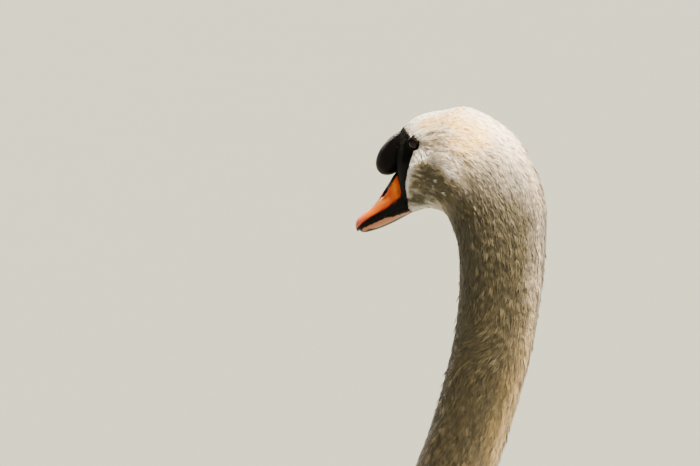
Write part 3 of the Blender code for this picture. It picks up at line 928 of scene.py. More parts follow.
def tints(place, t, turn, mine, crest, rng):
    """The markings and painted shade, lighter or darker from clump to clump and from feather to feather, with
    fine streaks, painted light on each clump's middle and painted shade at its edges, and painted glints.
    """
    base = markings_and_shade(place, t, turn)
    count = len(t)
    darkness = np.clip(1.15 - base.min(axis=1) / 0.75, 0, 1)
    body = blend(12.5, 14.5, t)
    clump = rng.normal(0, 1, count)[mine]
    shade = 1 + (0.02 + 0.05 * (1 - body) + 0.07 * darkness) * clump
    shade = shade + rng.normal(0, 1, count) * (0.03 + 0.1 * darkness)
    # Painted light and shade: feathers near the middle of their clump, where it stands highest, are lighter,
    # and those at its edges darker.
    shade = shade + (0.16 + 0.08 * darkness) * (crest - 0.4) * (1 - body)
    base = base * shade.clip(0.35, 1.55)[:, None]
    f, u = to_head(place)
    cheek = spot(f, u, -8 * MM, -42 * MM, 26 * MM, 20 * MM) * (t < 5)
    # Painted glints: pale flecks for the shine on wet feather tips, most on the cheek, a few on dark
    # feathers.
    chance = (0.0015 * darkness + 0.07 * cheek) * (1 - body)
    pale = (rng.random(count)[mine] < chance) * crest * rng.uniform(0.25, 0.75, count)[mine]
    return over(base, PAINTED_GLINT, pale).clip(0.01, 0.92)


def plumage_material():
    """Contour feathers are keratin barbs hooked into a soft vane: matt, with a faint silky sheen at a
    grazing angle. Each feather is darker towards its root, as painted shade where the feathers over it lap
    it."""
    looks = {"Roughness": 0.62, "IOR": 1.55, "Sheen Weight": 0.3, "Sheen Roughness": 0.4}
    made, tree, shader = new_material("Swan feather vanes", looks)
    tint = add(tree, "ShaderNodeAttribute", attribute_name="tint")
    vane = add(tree, "ShaderNodeUVMap", uv_map="Vane")
    apart = add(tree, "ShaderNodeSeparateXYZ", {"Vector": vane})
    # Painted shade: darker towards the root, where the feathers over it lap it, and lighter towards the tip.
    tip = add(tree, "ShaderNodeMapRange", {"Value": apart.outputs["Y"], "To Min": 0.72, "To Max": 1.12})
    feed(shader, {"Base Color": add(tree, VECTOR_MATH, {0: tint, "Scale": tip}, operation="SCALE")})
    return made


def bristle_material():
    """Short black bristles of the lores: velvet, with hardly any shine."""
    looks = {"Roughness": 0.85, "IOR": 1.45, "Specular IOR Level": 0.05}
    made, tree, shader = new_material("Bristles of the lores", looks)
    feed(shader, {"Base Color": add(tree, "ShaderNodeAttribute", attribute_name="tint")})
    return made


def skin_material():
    """Skin with its down: matt where feathers grow, and fine-grained black leather where it is bare."""
    made, tree, shader = new_material("Swan skin and down", {"IOR": 1.45, "Specular IOR Level": 0.06})
    tint, bare = (add(tree, "ShaderNodeAttribute", attribute_name=name) for name in ("tint", "bare"))
    bare = bare.outputs["Fac"]
    place = add(tree, "ShaderNodeTexCoord").outputs["Object"]
    grain = add(tree, "ShaderNodeTexVoronoi", {"Vector": place, "Scale": 1 / (1.1 * MM)}, feature="F1")
    rough = add(tree, "ShaderNodeMapRange", {"Value": bare, "To Min": 0.75, "To Max": 0.6})
    strength = add(tree, MATH, {0: bare, 1: 0.35}, operation="MULTIPLY")
    bump = add(tree, "ShaderNodeBump", {"Height": grain, "Strength": strength, "Distance": 0.3 * MM})
    feed(shader, {"Base Color": tint, "Roughness": rough, "Normal": bump})
    return made


def finish_piece(piece, slot, *nodes):
    """Says what a piece rides on, and hides the solids that it stands for. The slot is not used."""
    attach(piece, "root")
    if nodes:
        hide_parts(*nodes)


def tube_faces(rows, around):
    """Quads over the rings of a tube, and triangles from its end rings to the two points that close it."""
    faces = [tuple(f) for f in grid_faces(rows, around, True)]
    last, closing = (rows - 1) * around, rows * around
    for k in range(around):
        n = (k + 1) % around
        faces += [(closing, k, n), (closing + 1, last + n, last + k)]
    return faces


def make_skin(hide):
    """The one skin of head, neck, body and wings, with no seams. It is the piece that the coat is laid on."""
    rings = len(hide.t)
    points = np.vstack([hide.skin.reshape(-1, 3), hide.skin[0].mean(axis=0), hide.skin[-1].mean(axis=0)])
    faces = [face[::-1] for face in tube_faces(rings, AROUND)]
    piece = new_piece("skin", points, faces, [skin_material()])
    t = np.append(np.repeat(hide.t, AROUND), (0, RUMP))
    turn = np.append(np.tile(hide.turn, rings), (0, 0))
    bare = np.append(hide.bare.ravel(), (1, 0))
    (black,) = paints("swan_bill", "black")
    dark = np.maximum(blend(0.05, 0.3, bare), blend(2.6 * MM, 1.9 * MM, from_eyes(points)))
    set_colours(piece, over(markings_and_shade(points, t, turn) * 0.9, black, dark))
    set_numbers(piece, "bare", bare)
    # The unwrap: round the body one way and along the run the other. Quads over the seam end at 1, not at 0.
    corners = corners_of(piece)
    u, v = (corners % AROUND) / AROUND, np.minimum(corners // AROUND, rings - 1) / (rings - 1)
    quads = corners[: (rings - 1) * AROUND * 4].reshape(-1, 4) % AROUND
    seam = (quads.max(axis=1) == AROUND - 1) & (quads.min(axis=1) == 0)
    u[: quads.size] += ((quads == 0) & seam[:, None]).ravel()
    set_map(piece, "OFBake", np.column_stack([u, v]))
    finish_piece(piece, "plumage", *FLESH, "wing_left", "wing_right")
    return piece


# What the coat is laid in: name, seed, first and last place along the run, feather, density, and the depth
# and size of its ruffles in millimetres.
COATS = [
    ("coat_face", 11, 0, 3.1, "strand", 2.0, 0.25, 3),
    ("coat_head", 12, 3.1, 5.3, "strand", 2.0, 0.35, 4),
    ("coat_nape", 13, 5.3, 7.0, "strand", 2.0, 0.5, 5),
    ("coat_neck_upper", 14, 7.0, 8.6, "strand", 2.0, 0.6, 6),
    ("coat_neck_middle", 15, 8.6, 10.3, "strand", 2.0, 0.6, 6),
    ("coat_neck_lower", 16, 10.3, 12.4, "strand", 2.0, 0.7, 6),
    ("coat_neck_foot", 19, 12.4, 14, "plume", 1.2, 1.0, 8),
    ("coat_breast", 17, 14, 17.2, "vane", 1.2, 0.9, 14),
    ("coat_body", 18, 17.2, 25, "vane", 1.2, 0.9, 18),
]
# The shapes of contour feather: a fine strand, a soft plume and a broad rounded vane. Each has its rows of
# points from root to tip, how many points lie across it, its widths from root to tip, and how much it curls.
SHAPES = {
    "strand": ((0, 0.4, 0.78, 1), 2, (0.5, 0.9, 1, 0.85, 0.55, 0), 0.0),
    "plume": ((0, 0.25, 0.5, 0.75, 0.92, 1), 3, (0.3, 0.75, 1, 1, 0.75, 0), 0.3),
    "vane": ((0, 0.2, 0.4, 0.6, 0.78, 0.9, 0.97, 1), 5, (0.25, 0.7, 0.95, 1, 1, 0.95, 0.8, 0.35), 0.15),
}


def make_coats(hide, skin):
    """The coat from the bill to the rump, and the bristles of the lores."""
    shapes = {name: feather(f"feather_{name}", *shape) for name, shape in SHAPES.items()}
    feathered = np.where(hide.bare < 0.4, over_wing(hide), 0)
    settings = {"Skin": skin, "Patch": PATCH, "Finish": plumage_material()}
    for name, seed, first, last, shape, density, ruffle, size in COATS:
        roots = grow(hide, seed, first, last, density, feathered)
        settings |= {"Feather": shapes[shape], "Seed": float(seed)}
        settings |= {"Ruffle": ruffle * MM, "Ruffle Size": 1 / (size * MM)}
        finish_piece(laid(name, roots, settings), "plumage")
    f, u = to_head(hide.skin)
    brow = (hide.bare > 0.4) * blend(3 * MM, 9 * MM, f) * blend(1 * MM, 8 * MM, u)
    roots = grow(hide, 21, 0, 2.5, 0.8, brow, 0.8)
    (black,) = paints("swan_bill", "black")
    roots["tint"] = black + 0.3 * np.random.default_rng(21).random((len(roots["t"]), 1)) ** 5
    roots["lift"] = roots["lift"] + 0.5 * MM
    settings |= {"Feather": shapes["strand"], "Seed": 21.0, "Finish": bristle_material()}
    settings |= {"Ruffle": 0.2 * MM, "Ruffle Size": 1 / (2 * MM)}
    finish_piece(laid("velvet_brow", roots, settings), "bare_skin")
    for shape in shapes.values():
        bpy.data.objects.remove(shape)


REAR = 190 * MM  # from here back the skin under the wings is feathered too


def over_wing(hide):
    """1 off the wings, and falling to 0 over them: the shoulder's and the flank's feathers lap the front half
    of the wing's border. Nothing grows in the crack between the wing tips."""
    off = hide.skin[~hide.on_wing]
    tree = places_tree(off[(off[:, 1] > -260 * MM) & (off[:, 1] < 60 * MM)])
    on = hide.skin[hide.on_wing]
    gap = np.array([tree.find(Vector(place))[2] for place in on])
    lap = np.where(on[:, 2] > 200 * MM, 30 * MM, 14 * MM) * blend(70 * MM, -20 * MM, on[:, 1])
    weight = np.ones(hide.on_wing.shape)
    weight[hide.on_wing] = np.maximum(blend(1.4, 0.6, gap / np.maximum(lap, 1 * MM)), on[:, 1] > REAR)
    x, y, z = np.moveaxis(hide.skin, -1, 0)
    crack = (np.abs(x) < 20 * MM) & (z > 280 * MM) & (y > 0) & (y < 420 * MM)
    return weight * ~crack


# ---- wings and tail: vanes laid on sheets ----


class Sheet:
    """A surface as a grid of points, with the steps down and over it, and its normals."""

    def __init__(self, points):
        self.points = points
        self.down, self.over = np.gradient(points, axis=0), np.gradient(points, axis=1)
        self.normal = unit(np.cross(self.over, self.down))


# Along a vane from root to tip, and its width there as a share of the whole, for a rounded tip and for the
# long feathers of the wing and tail.
ROUND_TIP = [(0, 0.3), (0.2, 0.72), (0.45, 0.96), (0.7, 1), (0.86, 0.9), (0.95, 0.62), (0.99, 0.28)]
ROUND_TIP += [(1, 0.06)]
LONG_TIP = [(0, 0.3), (0.12, 0.66), (0.3, 0.9), (0.5, 1), (0.7, 1), (0.84, 0.94), (0.92, 0.78)]
LONG_TIP += [(0.97, 0.5), (1, 0.08)]
ACROSS_VANE = np.array([-1, -0.62, -0.28, -0.05, 0.05, 0.28, 0.62, 1])
# How far the shaft stands up and the edges hang down, how much the tips differ in height, and how early on
# its way to the tip a vane climbs.
SHAFT_RISE, EDGE_DROP, RUFFLE, CLIMB = 0.35 * MM, 0.35 * MM, 0.25 * MM, 0.8
PATCH_REACH = (0.06, 0.3)  # a vane's patch of the unwrap stands for this much of it, across and along


def vane_rows(*columns):
    """A table with a row for each vane, from a number or an array for each column."""
    return np.column_stack(np.broadcast_arrays(*columns))


def column_at(x, half, columns):
    """The place across a sheet that reaches half to each side."""
    return (x + half) / (2 * half) * (columns - 1)


def lay_vanes(sheet, table, outline, seed, tone):
    """Vanes on a sheet. The table's columns: root row and column, tip row and column, width, height at the
    root and at the tip, and how much higher its second edge lies than its first. It gives the points, where
    each is across and along its vane, and the vanes' tone."""
    rng = np.random.default_rng(seed)
    row, column, tip_row, tip_column, wide, low, high, tilt = np.asarray(table, float).T[..., None]
    b, share = np.array(outline).T
    a = ACROSS_VANE
    r, c = row + (tip_row - row) * b, column + (tip_column - column) * b
    down, over_it = between(sheet.down, r, c), between(sheet.over, r, c)
    normal = unit(between(sheet.normal, r, c))
    shaft = between(sheet.points, r, c)
    side = unit(np.cross(np.gradient(shaft, axis=1), normal))
    dr, dc = ((side * way).sum(-1) / np.maximum((way**2).sum(-1), 1e-12) for way in (down, over_it))
    shift = (wide * share / 2)[..., None] * a
    across = ((at[..., None] + step[..., None] * shift) for at, step in ((r, dr), (c, dc)))
    points = between(sheet.points, *across)
    climb = low + (high - low) * b**CLIMB
    slope = tilt[..., None] * a * share[:, None]
    ridge = SHAFT_RISE * (np.abs(a) < 0.1) * (1 - b[:, None])
    ruffle = rng.normal(0, RUFFLE, (len(table), 1, 1)) * b[:, None]
    height = climb[..., None] + slope + ridge + ruffle - EDGE_DROP * a**2
    points = points + normal[:, :, None] * height[..., None]
    reach = np.linalg.norm(np.diff(shaft, axis=1), axis=-1).cumsum(axis=1)
    reach = np.concatenate([np.zeros((len(table), 1)), reach], axis=1)
    return points, np.stack([shift, reach[..., None] * np.ones(len(a)) - 0.5 * np.abs(shift)], -1), tone


def vane_piece(name, hide, parts, finish, mirror=False):
    """One mesh of many vanes, with each vane's own measure as UV and its patch of the skin's unwrap."""
    places, faces, measures, patches, shades, first = [], [], [], [], [], 0
    rng = np.random.default_rng(len(name) * 7)
    for points, vane, tone in parts:
        count, rows, across, _ = points.shape
        each = rows * across
        cells = grid_faces(rows, across, False)
        for side in (1, -1) if mirror else (1,):
            placed = points * (side, 1, 1)
            i, j = hide.nearest(placed[:, 0, across // 2])
            inner = (vane / PATCH_REACH - (0, 0.5)).clip(-0.5, 0.5)
            patches.append(root_patch(i, j, len(hide.t))[:, None, None, :2] + PATCH * inner)
            order = cells[:, ::-1] if side > 0 else cells
            faces.append((order[None] + (first + np.arange(count) * each)[:, None, None]).reshape(-1, 4))
            first += count * each
            places.append(placed.reshape(-1, 3))
            measures.append(vane)
            shade = tone * rng.normal(1, 0.02, count)[:, None].clip(0.9, 1.1)
            shades.append(np.repeat(shade, each, axis=0))
    piece = new_piece(name, np.concatenate(places), np.concatenate(faces), [finish])
    set_colours(piece, np.concatenate(shades))
    for layer, values in (("OFBake", patches), ("Vane", measures)):
        set_map(piece, layer, np.concatenate([part.reshape(-1, 2) for part in values])[corners_of(piece)])
    return piece


# The folded wing, in millimetres from the wrist back: y, the upper edge (x, z), and the lower edge (x, z).
WING_RUN = [
    (-214, 118, 224, 122, 172),
    (-188, 100, 268, 144, 142),
    (-125, 62, 308, 164, 118),
    (-40, 24, 336, 172, 112),
    (60, 9, 348, 172, 120),
    (160, 7, 347, 156, 142),
    (250, 7, 337, 122, 174),
    (325, 8, 323, 86, 212),
    (385, 12, 309, 57, 250),
    (430, 22, 296, 33, 279),
]
SHEET_ROWS, SHEET_COLUMNS = 66, 25
FINE_STEPS = 400  # on the smooth line that the sheet's rows are read from
RAY_OFF = 0.15  # how far outside the wing the rays start
MIDLINE_ROOM = 1.5 * MM


def wing_sheet():
    """The outside of the left wing, met by rays from outside, row by row."""
    run = np.array(WING_RUN)
    wanted = np.linspace(run[0, 0], run[-1, 0], SHEET_ROWS)
    fine = curve_through(run, np.linspace(0, len(run) - 1, FINE_STEPS))
    rows = np.column_stack([np.interp(wanted, fine[:, 0], fine[:, k]) for k in range(5)]) * MM
    across = np.linspace(0, 1, SHEET_COLUMNS)[:, None]
    top, low = rows[:, None, 1:3], rows[:, None, 3:5]
    flat = top + (low - top) * across
    outward = unit(np.stack([top[..., 1] - low[..., 1], low[..., 0] - top[..., 0]], -1))
    outward = np.broadcast_to(outward, flat.shape)
    starts = flat + outward * RAY_OFF
    y = np.broadcast_to(rows[:, None, :1], (*flat.shape[:2], 1))
    starts = np.concatenate([starts[..., :1], y, starts[..., 1:]], -1)
    ways = -np.concatenate([outward[..., :1], 0 * y, outward[..., 1:]], -1)
    met = cast(solid_tree("wing_left", "trunk"), starts.reshape(-1, 3), ways.reshape(-1, 3), 2 * RAY_OFF)
    met = fill_gaps(met.reshape(starts.shape))
    for _ in range(3):
        beside = met[:-2, 1:-1] + met[2:, 1:-1] + met[1:-1, :-2] + met[1:-1, 2:]
        met[1:-1, 1:-1] = (met[1:-1, 1:-1] * 2 + beside) / 6
    return Sheet(met)


# Rows of the wing's feathers: y of the roots, length, width, height at the root and at the tip (from the
# wing's outside, inwards negative), first and last place from the upper edge to the lower, and how far the
# row's lower end lies behind its upper end.
COVERTS = [
    (-212, 36, 24, -6.5, -2.6, 0.0, 1.0, 10),
    (-197, 36, 25, -6.3, -2.4, 0.0, 1.0, 10),
    (-181, 38, 26, -6.0, -2.2, 0.0, 1.0, 8),
    (-164, 40, 27, -6.0, -2.0, 0.0, 1.0, 8),
    (-146, 42, 27, -6.0, -1.9, 0.0, 1.0, 6),
    (-127, 44, 28, -6.0, -1.8, 0.0, 1.0, 4),
    (-107, 47, 29, -6.0, -1.7, 0.0, 1.0, 2),
    (-86, 50, 30, -6.0, -1.6, 0.0, 1.0, 0),
    (-62, 58, 31, -6.0, -1.6, 0.0, 1.0, -4),
    (-35, 72, 33, -6.2, -1.7, 0.0, 1.0, -10),
    (0, 104, 38, -6.5, -1.8, 0.02, 0.98, -18),
]
# The long feathers in the same form, and how much each row fans out: the primaries, the flight feathers that
# show below them, the secondaries and the tertials.
FLIGHTS = [
    (196, 232, 30, -7.6, -4.6, 0.18, 0.9, -40, 0.3),
    (120, 190, 34, -7.4, -3.8, 0.62, 1.02, -70, 0.0),
    (52, 236, 47, -7.0, -2.4, 0.2, 0.97, -30, 0.1),
    (96, 268, 50, -6.6, -1.4, 0.0, 0.3, -16, 0.0),
]
VANE_SPACING = 0.62  # of a vane's width, so that each hides two fifths of the next
FLIGHT_TONE = (1.0, 0.985, 0.95)  # the long feathers are a little creamier than the coverts


def row_of_vanes(sheet, row, rng, tilt, fan=0.0, even=True):
    """The vanes of one row of the wing, side by side."""
    y, long, wide, low, high, first, last, slant = row
    front, back = WING_RUN[0][0], WING_RUN[-1][0]
    per_mm = (SHEET_ROWS - 1) / (back - front)
    r, middle = np.array([(y - front) * per_mm]), np.array([(SHEET_COLUMNS - 1) / 2])
    spread = np.linalg.norm(between(sheet.over, r, middle)[0]) / MM * (SHEET_COLUMNS - 1)
    count = max(3, round(spread * (last - first) / (VANE_SPACING * wide)))
    c = np.linspace(first, last, count) + rng.normal(0, 0.004, count)
    if even:
        c = c + rng.uniform(-0.5, 0.5) * (last - first) / count
    start = r + (slant * (c - 0.3) + rng.normal(0, 1.5, count)) * per_mm
    end = np.minimum(start + long * rng.normal(1, 0.04, count) * per_mm, SHEET_ROWS)
    c = c * (SHEET_COLUMNS - 1)
    drift = rng.normal(0, 0.35, count) + fan * (0.45 * (SHEET_COLUMNS - 1) - c)
    broad = wide * MM * rng.normal(1, 0.04, count)
    return vane_rows(start, c, end, c + drift, broad, low * MM, high * MM, tilt * MM)


def make_wings(hide, finish):
    """The coverts and the long feathers of both wings."""
    sheet, rng = wing_sheet(), np.random.default_rng(41)
    (white,) = paints("swan_plumage", "white")
    cream = white * FLIGHT_TONE
    coverts, flights = [], []
    for row in COVERTS:
        coverts.append(lay_vanes(sheet, row_of_vanes(sheet, row, rng, 0.5), ROUND_TIP, row[1], white))
    for k, (*row, fan) in enumerate(FLIGHTS):
        table = row_of_vanes(sheet, row, rng, 0.9, fan, even=False)
        flights.append(lay_vanes(sheet, table, LONG_TIP, 60 + k, cream))
    for name, parts in (("wing_coverts", coverts), ("wing_vanes", flights)):
        for points, _, _ in parts:
            points[..., 0] = np.maximum(points[..., 0], MIDLINE_ROOM)
        finish_piece(vane_piece(name, hide, parts, finish, mirror=True), "plumage", "wing_left", "wing_right")


# The mantle: where it starts and ends behind the neck, and its half width, in millimetres. Then where its
# last row starts, how far apart the rows and the feathers are, and, against the place along it, the half
# width that its feathers take, their lengths, and how high their tips stand. Its first rows are sunk deeper.
MANTLE = (-130, 232, 68)
MANTLE_ROWS, MANTLE_COLUMNS = 70, 27
MANTLE_LAST, MANTLE_STEP, MANTLE_SPACING = 178, 11, 13
MANTLE_HALF = [(-130, 50), (-60, 58), (0, 46), (90, 22), (178, 9)]
MANTLE_LONG = [(-130, 36), (90, 62), (178, 52)]
MANTLE_SUNK = (-11.5, -8.5, -5.5)
MANTLE_TIPS = [(20, 1.6), (100, -0.4)]
ABOVE = 0.4  # rays start this high over the floor
TIGHT_ROUNDS, SMOOTH_ROUNDS = 150, 20  # of drawing the sheet tight, and of smoothing it afterwards


def mantle_sheet():
    """A sheet from wing to wing over the back, met by rays from above and drawn tight over the valley."""
    y = np.linspace(MANTLE[0], MANTLE[1], MANTLE_ROWS) * MM
    x = np.linspace(-MANTLE[2], MANTLE[2], MANTLE_COLUMNS) * MM
    y, x = np.meshgrid(y, x, indexing="ij")
    starts = np.stack([x, y, np.full(x.shape, ABOVE)], -1)
    down = np.broadcast_to((0.0, 0.0, -1.0), (x.size, 3))
    met = cast(solid_tree("wing_left", "wing_right", "trunk"), starts.reshape(-1, 3), down, ABOVE)
    height = fill_gaps(met.reshape(starts.shape))[..., 2]
    for _ in range(TIGHT_ROUNDS):
        mean = (np.roll(height, 1, axis=1) + np.roll(height, -1, axis=1)) / 2
        height[:, 1:-1] = np.maximum(height, mean - 0.05 * MM)[:, 1:-1]
    for _ in range(SMOOTH_ROUNDS):
        height[1:-1, 1:-1] += 0.5 * ((height[:-2, 1:-1] + height[2:, 1:-1]) / 2 - height[1:-1, 1:-1])
    return Sheet(np.stack([x, y, height], -1))


def make_mantle(hide, finish):
    """Rounded feathers over the back between the wings."""
    (white,) = paints("swan_plumage", "white")
    sheet, rng = mantle_sheet(), np.random.default_rng(61)
    per_mm = (MANTLE_ROWS - 1) / (MANTLE[1] - MANTLE[0])
    parts = []
    for n, y in enumerate(np.arange(MANTLE[0], MANTLE_LAST, MANTLE_STEP)):
        half = read_line(MANTLE_HALF, y)
        count = max(3, round(2 * half / MANTLE_SPACING))
        x = np.linspace(-half, half, count) * rng.normal(1, 0.05) + (n % 2 - 0.5) * 6
        x = x + rng.normal(0, 1.5, count)
        start = (y - MANTLE[0] + rng.normal(0, 3, count)) * per_mm
        long = read_line(MANTLE_LONG, y) * per_mm * rng.normal(1, 0.13, count)
        end = np.minimum(start + long, MANTLE_ROWS - 1)
        fanned = column_at(1.15 * x + rng.normal(0, 2, count), MANTLE[2], MANTLE_COLUMNS)
        table = vane_rows(
            start,
            column_at(x, MANTLE[2], MANTLE_COLUMNS),
            end,
            fanned.clip(0.5, MANTLE_COLUMNS - 1.5),
            (22 + 0.08 * (y + 114)) * MM,
            (MANTLE_SUNK[n] if n < len(MANTLE_SUNK) else -3.5) * MM,
            rng.normal(read_line(MANTLE_TIPS, y), 0.4, count) * MM,
            rng.normal(0, 0.5, count) * MM,
        )
        parts.append(lay_vanes(sheet, table, ROUND_TIP, 90 + n, white))
    finish_piece(vane_piece("mantle_vanes", hide, parts, finish), "plumage")


# The tail from root to tip, in millimetres: y, z, half width and half thickness.
TAIL_RUN = [(325, 204, 48, 24), (345, 206, 52, 22), (400, 213, 62, 15), (440, 219, 54, 8)]
TAIL_RUN += [(475, 226, 37, 4.5), (497, 231, 14, 2.5), (504, 232, 6, 1.5)]
TAIL_ROWS, TAIL_COLUMNS = 40, 21
# The long feathers: how many, their sheet's half width, how far out the last tips lie, root and width.
TAIL_COUNT, TAIL_HALF, TAIL_SPREAD, TAIL_ROOT, TAIL_WIDE = 22, 60, 57, 338, 31
# The coverts over and under the tail: where their rows start, stop short of and step, how many lie in a row,
# and their width.
TAIL_COVERTS, COVERT_COUNT, COVERT_WIDE = (328, 425, 14), 9, 21
# How much the tail's sides droop, and its half width where they droop that much.
TAIL_DROOP, DROOP_HALF = 0.3, 62 * MM
# Where the long feathers' tips end, against how far they are from the middle.
TAIL_TIPS = [(0, 500), (14, 496), (37, 475), (54, 442), (60, 415)]


def tail_sheet(face):
    """The tail's top for face 1, its middle for 0 and its underside for -1."""
    run = np.array(TAIL_RUN) * MM
    y = np.linspace(run[0, 0], run[-1, 0], TAIL_ROWS)
    z, wide, thick = (np.interp(y, run[:, 0], run[:, k])[:, None] for k in (1, 2, 3))
    if face:
        c = np.linspace(-1, 1, TAIL_COLUMNS) * face
        x, half, dome = wide * c, wide, face * thick * np.sqrt(np.clip(1 - c**2, 0, 1))
    else:
        x = np.linspace(-TAIL_HALF, TAIL_HALF, TAIL_COLUMNS) * MM + 0 * wide
        half, dome = DROOP_HALF, 0
    return Sheet(np.stack([x, y[:, None] + 0 * x, z - TAIL_DROOP * x**2 / half + dome], -1))


def make_tail(hide, finish):
    """The long tail feathers in a fan, and the short coverts over and under their roots."""
    (white,) = paints("swan_plumage", "white")
    rng = np.random.default_rng(51)
    front = TAIL_RUN[0][0]
    per_mm = (TAIL_ROWS - 1) / (TAIL_RUN[-1][0] - front)
    k = np.linspace(-1, 1, TAIL_COUNT)
    tip_x = TAIL_SPREAD * k
    table = vane_rows(
        (TAIL_ROOT - front) * per_mm,
        column_at(0.5 * tip_x, TAIL_HALF, TAIL_COLUMNS),
        (read_line(TAIL_TIPS, np.abs(tip_x)) - front) * per_mm,
        column_at(tip_x, TAIL_HALF, TAIL_COLUMNS),
        TAIL_WIDE * MM,
        (5 - 9 * np.abs(k)) * MM,
        (1.8 - 4.5 * np.abs(k)) * MM,
        -0.8 * np.sign(k) * MM,
    )
    parts = [lay_vanes(tail_sheet(0), table, LONG_TIP, 71, white)]
    for face in (1, -1):
        sheet, count = tail_sheet(face), COVERT_COUNT
        for n, y in enumerate(np.arange(*TAIL_COVERTS)):
            across = np.linspace(0.06, 0.94, count) + (n % 2) * 0.07 - 0.035 + rng.normal(0, 0.012, count)
            c = across * (TAIL_COLUMNS - 1)
            start = (y - front + rng.normal(0, 6, count)) * per_mm
            end = start + (46 + 2.2 * n) * per_mm * rng.normal(1, 0.1, count)
            drift, tip, tilt = (rng.normal(*spread, count) for spread in ((0, 0.5), (1.3, 0.5), (0, 0.4)))
            table = vane_rows(start, c, end, c + drift, COVERT_WIDE * MM, -3 * MM, tip * MM, tilt * MM)
            parts.append(lay_vanes(sheet, table, ROUND_TIP, 80 + n, white))
    finish_piece(vane_piece("tail_vanes", hide, parts, finish), "plumage", "tail")


def vane_material():
    """Long feathers: barbs slant from a horny shaft to the edge. Real barbs stand under half a millimetre
    apart; they are drawn at one and a half, so that they don't shimmer."""
    looks = {"Roughness": 0.55, "IOR": 1.55, "Sheen Weight": 0.2, "Sheen Roughness": 0.4}
    made, tree, shader = new_material("Swan flight feather vanes", looks)
    tint = add(tree, "ShaderNodeAttribute", attribute_name="tint")
    apart = add(tree, "ShaderNodeSeparateXYZ", {"Vector": add(tree, "ShaderNodeUVMap", uv_map="Vane")})
    across, along = add(tree, MATH, {0: apart.outputs["X"]}, operation="ABSOLUTE"), apart.outputs["Y"]
    lean = add(tree, MATH, {0: along, 1: across}, operation="SUBTRACT")
    turns = add(tree, MATH, {0: lean, 1: 2 * math.pi / (1.5 * MM)}, operation="MULTIPLY")
    barbs = add(tree, MATH, {0: turns}, operation="SINE")
    bump = add(tree, "ShaderNodeBump", {"Height": barbs, "Strength": 0.25, "Distance": 0.2 * MM})
    shafts = {"Value": across, "From Min": 0.5 * MM, "From Max": 1.2 * MM, "To Min": 0.7}
    # Painted shade: each vane darker towards its root, where the feathers over it lap it.
    roots = {"Value": along, "From Max": 34 * MM, "To Min": 0.62}
    shaft, root = (add(tree, "ShaderNodeMapRange", inputs) for inputs in (shafts, roots))
    both = add(tree, MATH, {0: shaft, 1: root}, operation="MULTIPLY")
    shaded = add(tree, VECTOR_MATH, {0: tint, "Scale": both}, operation="SCALE")
    feed(shader, {"Base Color": shaded, "Normal": bump})
    return made


# ---- bill, knob and eyes ----

# From root to tip, in millimetres: f at the mouth line, how much of the root's slant is left, half width,
# height above or depth below the mouth line, and the roundness of the section.
UPPER_BILL = [
    (40, 1.0, 17.3, 38, 0.85),
    (46, 1.0, 17.3, 37, 0.85),
    (54, 0.75, 16.9, 34.5, 0.9),
    (60, 0.5, 16.4, 29, 0.95),
    (75, 0.1, 15.2, 17.8, 0.9),
    (89, 0.0, 14.6, 13.8, 0.8),
    (100.5, 0.0, 13.0, 11.0, 0.75),
    (107.2, 0.0, 8.6, 7.6, 0.75),
    (110, 0.0, 3.2, 3.8, 0.9),
]
LOWER_BILL = [
    (41, 1.0, 15.6, 7.0, 0.8),
    (47.5, 1.0, 15.6, 6.8, 0.8),
    (70, 0.3, 13.9, 8, 0.8),
    (88, 0.0, 12.9, 7.8, 0.8),
    (100, 0.0, 10.8, 6, 0.8),
    (106, 0.0, 5.6, 3.5, 0.9),
]
BILL_RINGS, BILL_ARCH, BILL_FLAT = 64, 48, 16  # rings, points over each ring's arch, and along its flat side
CROWDED = 0.35  # by this share the rings lie closer together at the root than if they were evenly spaced
ROOT_SLANT = (48 - 20) / (18 + 58.5)  # how far back the root's rings lean, for each millimetre up
NAIL_HOOK, HOOK_LENGTH = 1.5 * MM, 20 * MM
# The nostril: its middle in the head's frame, its half length and half height, and how it leans.
NOSTRIL, NOSTRIL_HALF, NOSTRIL_LEAN = (61 * MM, -31.5 * MM), (7.5 * MM, 2.1 * MM), math.radians(-20)
NOSTRIL_DEPTH, RIM_RISE, GROOVE_DEPTH, NAIL_RISE = 2.6 * MM, 0.35 * MM, 0.35 * MM, 0.5 * MM
# Borders of colour on the bill, in the head's frame: the front edge of the black at the root, the lower edge
# of the black round the nostril, and the upper edge of the black along the cutting edge.
ROOT_BORDER = [(-60, 39), (-40, 38.6), (-35.5, 37.3), (-28.7, 37.2), (-21.4, 38.5), (0, 38)]
NOSTRIL_BORDER = [(36, -19), (42.6, -23), (49.4, -27.6), (55.7, -31), (61.7, -32.6), (67, -32.6)]
EDGE_BORDER = [(36, -36.5), (38.6, -38.8), (42, -40.8), (46.8, -42.4), (57.4, -43.9), (70.6, -45.2)]
EDGE_BORDER += [(84, -46.2), (95, -47.8), (102, -50.3)]
# The lower edge of the black seam along the lower half of the bill.
SEAM_BORDER = [(36, -57.5), (40, -57), (48, -56.3), (55, -55.6), (61, -55.2), (66, -53.4), (98, -53.2)]
SEAM_BORDER += [(104, -54.5)]
# Painted light and shade over the orange: the brighter orange bands are painted highlights where the bill's
# side catches the light, and the brown washes are painted shade in the recesses by the nostril. Each has its
# middle f and u, reach along and up in millimetres, how strong, and the colour.
BILL_LIGHT_AND_SHADE = [
    (44, -31, 3.5, 9, 0.85, "#F58A0C"),
    (66, -37.5, 13, 3.2, 0.9, "#F58800"),
    (84, -41, 12, 3.2, 0.7, "#F58800"),
    (40.5, -37, 3.5, 5, 0.8, "#8A3406"),
    (52.5, -36, 2.5, 3, 0.5, "#7A2C06"),
    (60, -34.8, 5, 2.2, 0.85, "#6A2410"),
    (60, -29, 6, 1.5, 0.5, "#6A1A10"),
]


